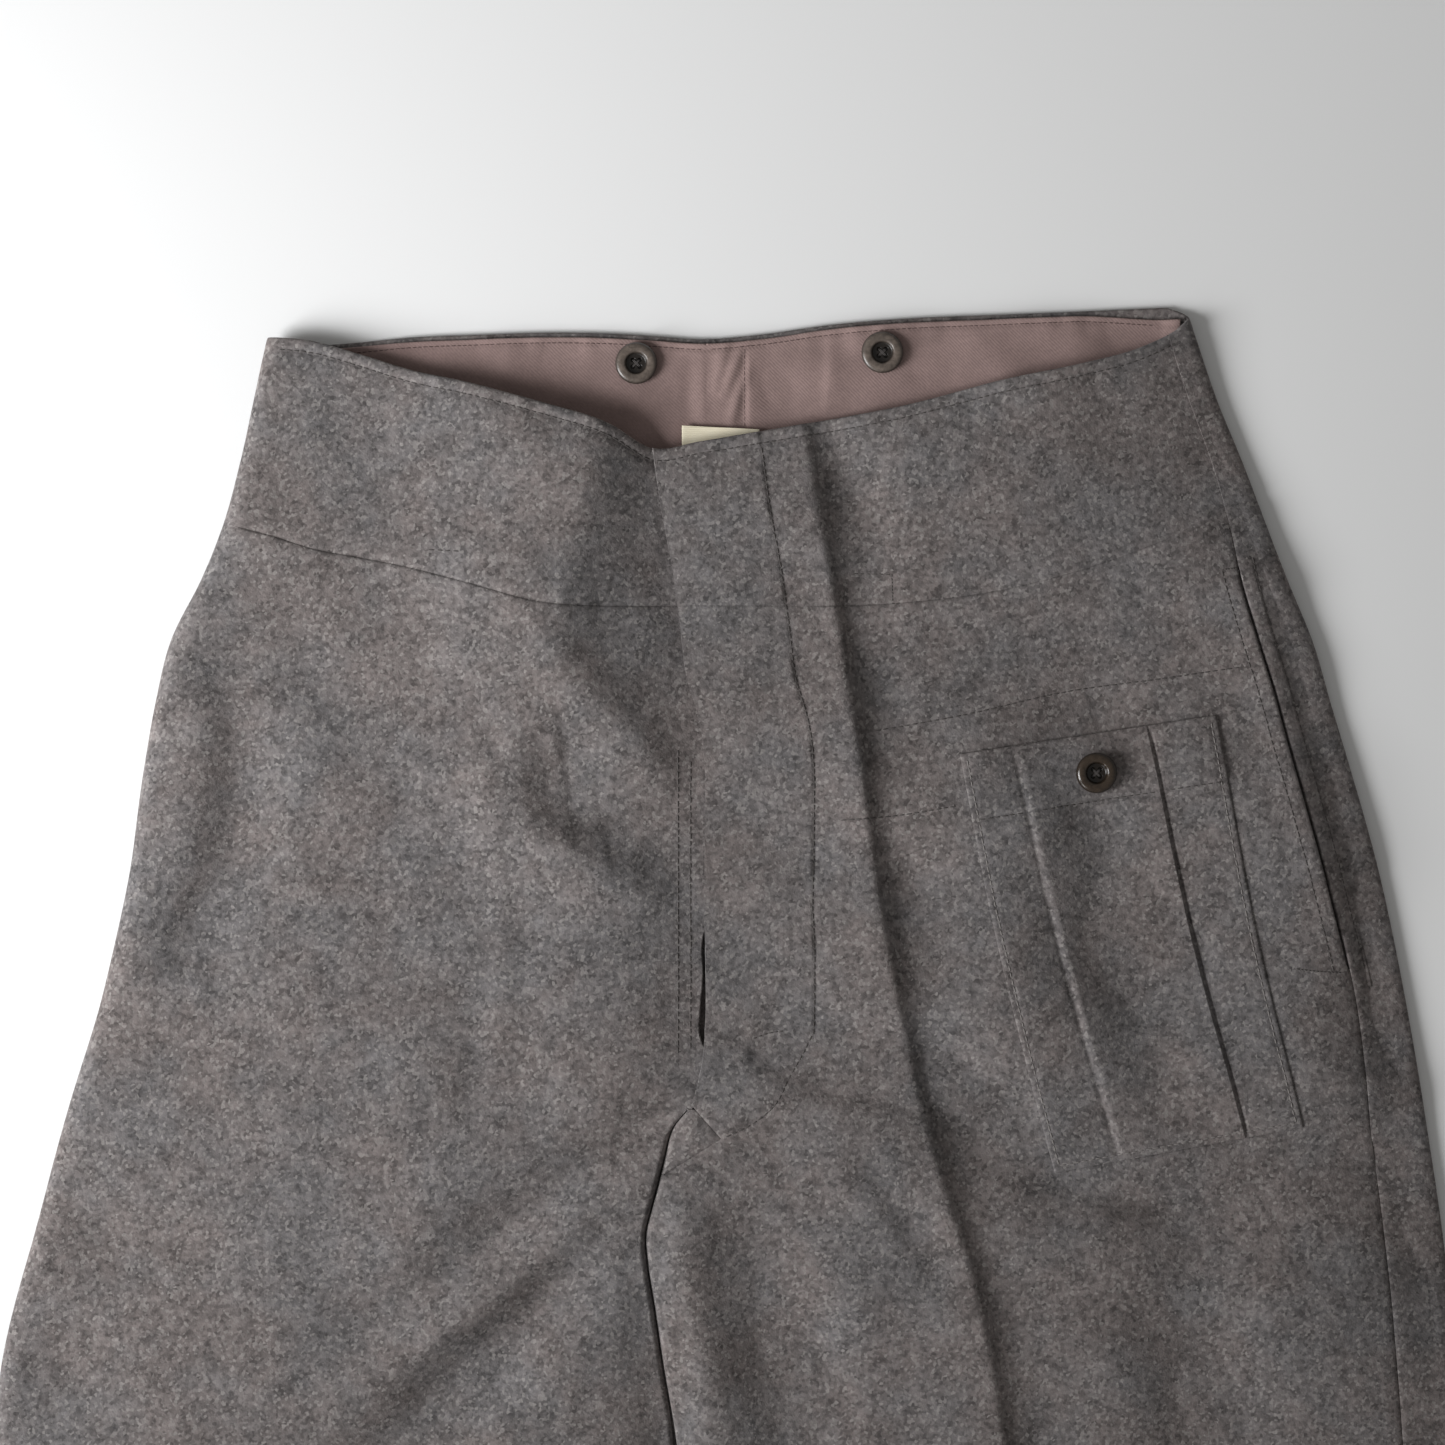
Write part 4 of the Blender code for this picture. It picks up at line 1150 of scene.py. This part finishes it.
# %% Dressing pocket
POCKET_TOP = ((102.1, 193.9), (212.6, 177.2))
POCKET_BOTTOM = ((143.4, 373.7), (250.0, 353.9))
POCKET_WIDTH, POCKET_HEIGHT, POCKET_BOW, POCKET_HEM = 110.0, 178, 2.6, 0.155
EDGE_STITCH, PRESSED, POCKET_GAP, POCKET_RIM = 2.6, 1.1, 0.15, 0.2
PLEAT = table(
    "fall left right held",
    (0, 0.218, 0.735, 0.4),
    (0.12, 0.225, 0.742, 1.0),
    (0.35, 0.238, 0.75, 1.6),
    (0.7, 0.257, 0.764, 1.6),
    (0.92, 0.27, 0.772, 1.2),
    (1, 0.274, 0.774, 0.8),
)


def pocket_point(share, fall):
    """Across and down at a share of the pocket's width and height."""
    (x0, y0), (x1, y1) = POCKET_TOP
    (x2, y2), (x3, y3) = POCKET_BOTTOM
    across = (x0 + (x1 - x0) * share) * (1 - fall) + (x2 + (x3 - x2) * share) * fall
    down = (y0 + (y1 - y0) * share) * (1 - fall) + (y2 + (y3 - y2) * share) * fall
    return across - POCKET_BOW * np.sin(np.pi * fall), down


def pocket_share(across, down):
    """The other way round: a few rounds of working out the share from the fall and the fall from it."""
    fall = np.full(np.shape(across), 0.5)
    for _ in range(SETTLE_ROUNDS):
        start, end = pocket_point(0, fall)[0], pocket_point(1, fall)[0]
        share = (across - start) / (end - start)
        high, low = pocket_point(share, 0)[1], pocket_point(share, 1)[1]
        fall = (down - high) / (low - high)
    return share, fall


def pocket_top(across, down):
    """The outside of the pocket above the outside of the front: the cloth, the pleat and its sewing."""
    share, fall = pocket_share(across, down)
    inside_left = (share - read(PLEAT, "left", fall)) * POCKET_WIDTH
    inside_right = (read(PLEAT, "right", fall) - share) * POCKET_WIDTH
    middle = np.clip(inside_left / (inside_left + inside_right), 0, 1)
    panel = ease(inside_left / 5 + 0.5) * ease(inside_right / 0.9)
    sag = 0.92 * bell((middle - 0.46) / np.where(middle < 0.46, 0.22, 0.26))
    sag = sag * between(fall, 0, 1.15, 0.22, 0.4)
    rise = read(PLEAT, "held", fall) * panel * (1 - sag)
    groove = -0.4 * bell((inside_left + 1.2) / 0.9) - 0.7 * bell((inside_right + 0.6) / 0.5)
    rise = rise + groove * between(fall, 0, 1, 0.04, 0.03)
    nearest = np.minimum(np.minimum(share, 1 - share) * POCKET_WIDTH, (1 - fall) * POCKET_HEIGHT)
    rise = rise - 0.22 * bell((nearest - EDGE_STITCH) / 0.8) - 0.6 * fade(nearest, 1.4)
    rise = rise - 0.5 * bell((across - 156) / 7) * bell((down - 218) / 10)
    rise = rise - 0.3 * bell((fall - POCKET_HEM) * POCKET_HEIGHT / 0.9)
    rise = rise + 0.45 * ease((POCKET_HEM - fall) * 60)
    return left_top(across, down) + POCKET_GAP + PRESSED + np.maximum(rise, 0.3 - PRESSED)


def dressing_pocket():
    """Columns gather at both folds of the pleat and at the edge stitches, and rows at the hem."""
    rows = through([8, 16, 12, 74, 10, 8])
    fall = (np.array([0, 0.02, 0.13, 0.18, 0.93, 0.98, 1]) @ rows)[:, None]
    left, right = read(PLEAT, "left", fall[:, 0]), read(PLEAT, "right", fall[:, 0])
    stations = (0, 0.05, left - 0.04, left + 0.04, 0.47, right - 0.02, right + 0.025, 0.95, 1)
    stations = np.stack([station + 0 * left for station in stations])
    share = np.einsum("sr,sc->rc", stations, through([10, 12, 24, 20, 20, 30, 14, 10]))
    across, down = pocket_point(share, fall + 0 * share)
    up = pocket_top(across, down)
    wall = np.minimum(PRESSED, up - left_top(across, down) - 0.1)
    swell = (RIM, POCKET_RIM, POCKET_RIM, POCKET_RIM)
    points = placed(across, down, up)
    cloth("dressing_pocket_cloth", points, wall, "dressing_pocket", ["left_front"], swell=swell)


dressing_pocket()

# %% [markdown]
# ## Buttons
#
# Each is moulded in one shot: a rounded rim, a dished middle and four holes. A lathe gives the
# profile, worked out here as rings by angles, and each hole presses the rings down around its own
# centre. How pale a place is drawn comes from the same profile and goes into the mesh as an
# attribute, which the plastic reads. This paleness on the raised rim is partly rubbing and partly a
# painted highlight of the light caught there.

# %% Buttons
HOLE_OUT, HOLE_WIDE, HOLE_DEEP, HOLE_FLOOR = 2.1, 0.8, 1.5, 0.42
BRACE_ACROSS, BRACE_THICK, BRACE_GAP, BRACE_TILT = 18.0, 3.2, 0.35, (0.02, -0.03)
SMALL_ACROSS, SMALL_THICK, SMALL_GAP, SMALL_TILT = 17.5, 4.0, 0.5, (0.03, 0.02)
# The last column is how much of the paler brown each ring gets: partly rubbing, partly a painted highlight on
# the raised rim
BUTTON = table(
    "along radius height rubbed",
    (0, 0.02, HOLE_FLOOR, 0),
    (1, 0.22, 0.42, 0),
    (2, 0.42, 0.44, 0),
    (3, 0.48, 0.55, 0.1),
    (4, 0.53, 0.84, 0.6),
    (5, 0.6, 0.96, 1),
    (6, 0.74, 1.0, 1),
    (7, 0.86, 0.94, 1),
    (8, 0.95, 0.78, 0.5),
    (9, 1.0, 0.52, 0),
    (10, 0.97, 0.22, 0),
    (11, 0.8, 0.0, 0),
    (12, 0.02, 0.0, 0),
)


def button(node, across, down, up, wide, thick, tilt, slot):
    """Rings of the profile by angles, pressed down at four holes, tilted, and closed at both poles."""
    along = np.concatenate([np.linspace(0, 2, 34)[:-1], np.linspace(2, 12, 41)])
    turn = np.linspace(0, 2 * np.pi, 97)[:-1]
    radius = read(BUTTON, "radius", along)[:, None] * wide / 2
    x, y = radius * np.cos(turn), radius * np.sin(turn)
    z = read(BUTTON, "height", along)[:, None] * thick + 0 * x
    for hole in np.radians([45, 135, 225, 315]):
        off = np.hypot(x - HOLE_OUT * math.cos(hole), y - HOLE_OUT * math.sin(hole))
        z = z - HOLE_DEEP * ease((HOLE_WIDE - off) / 0.35 + 0.5) * (along[:, None] < 3)
    z = z + tilt[0] * x + tilt[1] * y
    rings, count = x.shape
    points = placed(across + x, down - y, up + z).reshape(-1, 3)
    poles = placed(across, down, up + np.array([HOLE_FLOOR * thick, 0]))
    ids = np.arange(rings * count).reshape(rings, count)
    onward = np.roll(ids, -1, axis=1)
    sides = np.stack([ids[:-1], ids[1:], onward[1:], onward[:-1]], axis=-1).reshape(-1, 4)
    top, foot = ids[0] * 0 + ids.size, ids[0] * 0 + ids.size + 1
    caps = np.concatenate([np.stack([ids[0], onward[0], top], 1), np.stack([onward[-1], ids[-1], foot], 1)])
    faces = sides.tolist() + caps.tolist()
    piece = mesh_piece(node + "_plastic", np.concatenate([points, poles]), faces, slot, node)
    # Paler on the raised rim: partly rubbing, partly a painted highlight
    rubbed = np.repeat(read(BUTTON, "rubbed", along), count)
    layer = piece.data.attributes.new("rubbed", "FLOAT", "POINT")
    layer.data.foreach_set("value", np.concatenate([rubbed, [0.0, 0.0]]))


POCKET_BUTTON = (160.6, 201.2)
brace_up = LINING_HEIGHT + BRACE_GAP
pocket_up = float(pocket_top(*np.array(POCKET_BUTTON)[:, None])[0]) + SMALL_GAP
for side, spot in BRACE_BUTTONS.items():
    node = "brace_button_" + side
    button(node, *spot, brace_up, BRACE_ACROSS, BRACE_THICK, BRACE_TILT, "worn button")
button(
    "pocket_button", *POCKET_BUTTON, pocket_up, SMALL_ACROSS, SMALL_THICK, SMALL_TILT, "glossy button"
)

# %% [markdown]
# ## Sewing
#
# A stitch is a short bar of thread that sinks into the cloth at both ends. One bar is drawn as a
# spindle of five rings, and a whole seam is that spindle copied along a curve by array arithmetic:
# each copy lies along the curve, on the cloth's own surface, and all of an area's copies are joined
# in one mesh. The same bars cross between a button's holes.

# %% Stitches
STITCH, STITCH_GAP, THREAD = 2.5, 0.6, 0.36
SPINDLE_ALONG = np.array([-1.0, -0.72, 0.0, 0.72, 1.0])[:, None, None]
SPINDLE_WIDE = np.array([0.12, 0.82, 1.0, 0.82, 0.12])[:, None, None]
SPINDLE_TURN = (np.arange(6) / 6 * 2 * np.pi)[:, None]


def gone_along(points):
    """The length of the chords from the first point to each."""
    return np.concatenate([[0], np.cumsum(np.linalg.norm(np.diff(points, axis=0), axis=1))])


def curve(*points):
    """A smooth curve through points of (across, down): a cubic over the length of the chords."""
    points = np.array(points, float)
    gone = gone_along(points)
    rows = {"gone": gone, "across": points[:, 0], "down": points[:, 1]}
    at = np.linspace(0, gone[-1], max(int(gone[-1] * 2), 8))
    return np.stack([read(rows, "across", at), read(rows, "down", at)], axis=1)


def bars(top, line, pitch=STITCH + STITCH_GAP, long=STITCH, thick=THREAD):
    """Points of all the spindles along one line, and their faces counted from 0."""
    gone = gone_along(line)
    count = max(int(gone[-1] / pitch), 1)
    middle = (np.arange(count) + 0.5) * gone[-1] / count + rng.uniform(-0.15, 0.15, count)
    ends = middle[:, None] + np.array([-0.5, 0.5]) * long * rng.uniform(0.85, 1.05, count)[:, None]
    across = np.interp(ends, gone, line[:, 0]) + rng.uniform(-0.1, 0.1, count)[:, None]
    down = np.interp(ends, gone, line[:, 1])
    start, end = np.moveaxis(placed(across, down, top(across, down)), 1, 0)
    x, y = across.mean(1), down.mean(1)
    lean = [(top(x + a, y + b) - top(x - a, y - b)) / 1.0 for a, b in ((0.5, 0), (0, 0.5))]
    normal = unit(np.stack([-lean[0], lean[1], np.ones(count)], axis=1))
    centre = placed(x, y, top(x, y)) + normal * thick * 0.35 * MM
    forward = unit(end - start)
    half = (np.linalg.norm(end - start, axis=1) / 2)[:, None, None, None]
    axes = (centre, forward, np.cross(normal, forward), normal)
    centre, forward, sideways, upward = (axis[:, None, None] for axis in axes)
    ring = SPINDLE_WIDE * thick * MM
    points = centre + forward * SPINDLE_ALONG * half
    points = points + sideways * np.cos(SPINDLE_TURN) * ring + upward * (np.sin(SPINDLE_TURN) - 0.6) * ring
    ids = np.arange(points.size // 3).reshape(points.shape[:3])
    onward = np.roll(ids, -1, axis=2)
    quads = np.stack([ids[:, :-1], onward[:, :-1], onward[:, 1:], ids[:, 1:]], axis=-1).reshape(-1, 4)
    caps = np.concatenate([ids[:, 0, ::-1], ids[:, -1]])
    return points.reshape(-1, 3), quads, caps


def sewing(name, slot, *runs):
    """All the bars of several runs as one object."""
    points, faces, first = [], [], 0
    for where, quads, caps in runs:
        points.append(where)
        faces += (quads + first).tolist() + (caps + first).tolist()
        first += len(where)
    mesh_piece(name, np.concatenate(points), faces, slot)


# %% Lines that the stitches follow
def level_line(start, end, down_of, offset):
    """A line from across to across, at an offset below what a function of across gives."""
    across = np.linspace(start, end, 400)
    return np.stack([across, down_of(across) + offset], axis=1)


def upright_line(start, end, across_of, offset=0.0):
    """A line from depth to depth, at an offset to the right of what a function of depth gives."""
    down = np.linspace(start, end, 400)
    return np.stack([across_of(down) + offset, down], axis=1)


def pocket_line(*shares):
    """A straight line in the pocket's own shares, put on the garment."""
    share, fall = np.linspace(*np.array(shares, float), 300).T
    return np.stack(pocket_point(share, fall), axis=1)


def band_top(across):
    """Down of the front band's top edge."""
    return read(BAND, "front_top", across)


# %% Sewing of the fronts, the fly and the pockets
edge, foot = EDGE_STITCH / POCKET_WIDTH, 1 - EDGE_STITCH / POCKET_HEIGHT
sewing(
    "band_stitching",
    "grey thread",
    bars(right_top, level_line(-191, -31, band_top, BAND_STITCH)),
    bars(left_top, level_line(-29, 196, band_top, BAND_STITCH)),
)
sewing(
    "fly_stitching",
    "grey thread",
    bars(left_top, upright_line(61, 314, fly_stitch)),
    bars(left_top, curve((38.5, 314), (34, 323), (28.6, 332.4), (21.7, 344.9), (13, 352), (1, 358))),
    bars(left_top, curve((13, 315.6), (20, 313.2), (26.5, 312.2)), 2.0, 1.9),
    bars(right_top, curve((-19.1, 191), (-19.1, 322))),
    bars(right_top, curve((-13.8, 196), (-13.8, 320))),
    bars(left_top, curve((65.6, 183.2), (103.8, 176.3), (150, 166), (188.6, 160.8), (223, 155.7))),
    bars(left_top, curve((50.5, 221.5), (73.7, 219.7), (100.4, 215.4))),
    bars(right_top, curve((-126.6, 105.4), (-119, 105.8), (-112.4, 106.2))),
    bars(left_top, curve((72.9, 115.7), (73.1, 122), (73.2, 129)), 1.4, 1.1, 0.28),
    bars(left_top, curve((56, 115.4), (63.4, 115.6), (72.6, 115.8)), 2.4, 2.0, 0.28),
)
sewing(
    "dressing_pocket_edge_stitching",
    "pale thread",
    bars(pocket_top, pocket_line((edge, 0.01), (edge, foot))),
    bars(pocket_top, pocket_line((1 - edge, 0.01), (1 - edge, foot))),
    bars(pocket_top, pocket_line((edge, foot), (1 - edge, foot))),
)
sewing(
    "dressing_pocket_stitching",
    "grey thread",
    bars(pocket_top, pocket_line((edge, POCKET_HEM), (0.2, POCKET_HEM))),
    bars(pocket_top, pocket_line((0.27, POCKET_HEM), (0.72, POCKET_HEM))),
    bars(pocket_top, pocket_line((0.77, POCKET_HEM), (1 - edge, POCKET_HEM))),
)
sewing(
    "side_pocket_stitching",
    "grey thread",
    bars(left_top, upright_line(MOUTH_START, MOUTH_END, side_seam, -7.5)),
    bars(back_over, upright_line(MOUTH_START - 6, MOUTH_END + 8, side_seam, FACING_LINE)),
    bars(left_top, curve((246.6, 285.5), (256, 286.6), (266.5, 287.2)), 1.6, 1.5),
    bars(left_top, curve((222, 113), (219.6, 113.2), (216, 113.6)), 1.2, 1.1),
)

# %% Sewing of the lining, the hems and the buttons
sewing(
    "lining_stitching",
    "brown thread",
    bars(lining_top, level_line(-180, -9, lining_edge, LINING_STITCH), 2.4, 2.0, 0.26),
    bars(lining_top, level_line(-5, 186, lining_edge, LINING_STITCH), 2.4, 2.0, 0.26),
    bars(lining_top, curve((9.6, 18), (9.6, 86)), 2.4, 2.0, 0.24),
)
sewing(
    "hem_stitching",
    "grey thread",
    bars(right_top, curve((-264, LENGTH - HEM), (-60, LENGTH - HEM)), 4.4, 2.2),
    bars(left_top, curve((62, LENGTH - HEM), (276, LENGTH - HEM)), 4.4, 2.2),
)


CROSS_REACH, CROSS_ASIDE, CROSS_UP = 2.3, 0.22, 0.25
CROSS_PITCH, CROSS_LONG, CROSS_THREAD = 9, 4.4, 0.24


def cross_threads(node, across, down, up):
    """Four strands that cross between a button's holes, two each way."""

    def flat_top(x, y):
        return up + CROSS_UP + 0 * x

    runs = []
    for angle in np.radians([45, 135]):
        for aside in (-CROSS_ASIDE, CROSS_ASIDE):
            x, y = across - math.sin(angle) * aside, down + math.cos(angle) * aside
            reaches = (-CROSS_REACH, 0, CROSS_REACH)
            ends = [(x + k * math.cos(angle), y + k * math.sin(angle)) for k in reaches]
            runs.append(bars(flat_top, curve(*ends), CROSS_PITCH, CROSS_LONG, CROSS_THREAD))
    sewing(node + "_thread", "grey thread", *runs)


for side, spot in BRACE_BUTTONS.items():
    cross_threads("brace_button_" + side, *spot, brace_up + HOLE_FLOOR * BRACE_THICK)
cross_threads("pocket_button", *POCKET_BUTTON, pocket_up + HOLE_FLOOR * SMALL_THICK)

# %% [markdown]
# ## Camera, floor and light
#
# The photograph looks straight down at the trousers and ends above the knees. A long lens well
# above the cloth gives that view. The light is a soft window near the garment on the viewer's left,
# so that slopes facing right go dark and the light falls off towards the right, as they do there.
# A second, weaker one does the same for the legs, and the world gives an even fill.

# %% Stage
PHOTO_SIDE, PHOTO_TOP, MM_PER_PIXEL = 1445, 305, 0.43
CAMERA_HEIGHT, CAMERA_AIM = 1.5, 0.01
FLOOR_HALF, FLOOR_DOWN = 4, -0.0006


def in_scene(name, data):
    """A new object of some data, linked to the scene."""
    thing = bpy.data.objects.new(name, data)
    bpy.context.scene.collection.objects.link(thing)
    return thing


camera_data = bpy.data.cameras.new("camera")
camera_data.lens = camera_data.sensor_width * (CAMERA_HEIGHT - CAMERA_AIM) / (PHOTO_SIDE * MM_PER_PIXEL * MM)
camera = in_scene("camera", camera_data)
view_middle = placed(0.0, (PHOTO_SIDE / 2 - PHOTO_TOP) * MM_PER_PIXEL, 0.0)
camera.location = (view_middle[0], view_middle[1], CAMERA_HEIGHT)
bpy.context.scene.camera = camera

corners = [(x * FLOOR_HALF, y * FLOOR_HALF, FLOOR_DOWN) for x, y in ((-1, -1), (1, -1), (1, 1), (-1, 1))]
floor_mesh = bpy.data.meshes.new("floor")
floor_mesh.from_pydata(corners, [], [(0, 1, 2, 3)])
paint = bpy.data.materials.new("pale_floor")
paint.use_nodes = True
shader = paint.node_tree.nodes["Principled BSDF"]
join(paint.node_tree, shader, {}, Base_Color=linear("#f4f4f3"), Roughness=0.9)
floor_mesh.materials.append(paint)
floor = in_scene("floor", floor_mesh)


def area_light(name, place, aim, size, power, spread, colour):
    """A square soft light at a place, turned to face a point, with its beam's full angle in degrees."""
    data = bpy.data.lights.new(name, "AREA")
    data.size, data.energy, data.color = size, power, linear(colour)[:3]
    data.spread = math.radians(spread)
    light = in_scene(name, data)
    away = np.array(place, float) - np.array(aim, float)
    lift, heading = math.atan2(math.hypot(away[0], away[1]), away[2]), math.atan2(away[0], -away[1])
    light.location, light.rotation_euler = place, (lift, 0, heading)


area_light("window", (-1.05, 0.11, 0.58), (0.0, 0.8, 0.0), 0.65, 9.3, 110, "#fcfdff")
area_light("window over the legs", (-1.05, -1.15, 0.6), (-0.05, -0.65, 0.0), 0.65, 2.8, 70, "#fcfdff")
world = bpy.data.worlds.new("even_fill")
world.use_nodes = True
fill = world.node_tree.nodes["Background"]
join(world.node_tree, fill, {}, Color=linear("#f7f6f4"), Strength=0.22)
bpy.context.scene.world = world
bpy.context.scene.view_settings.view_transform = "Standard"
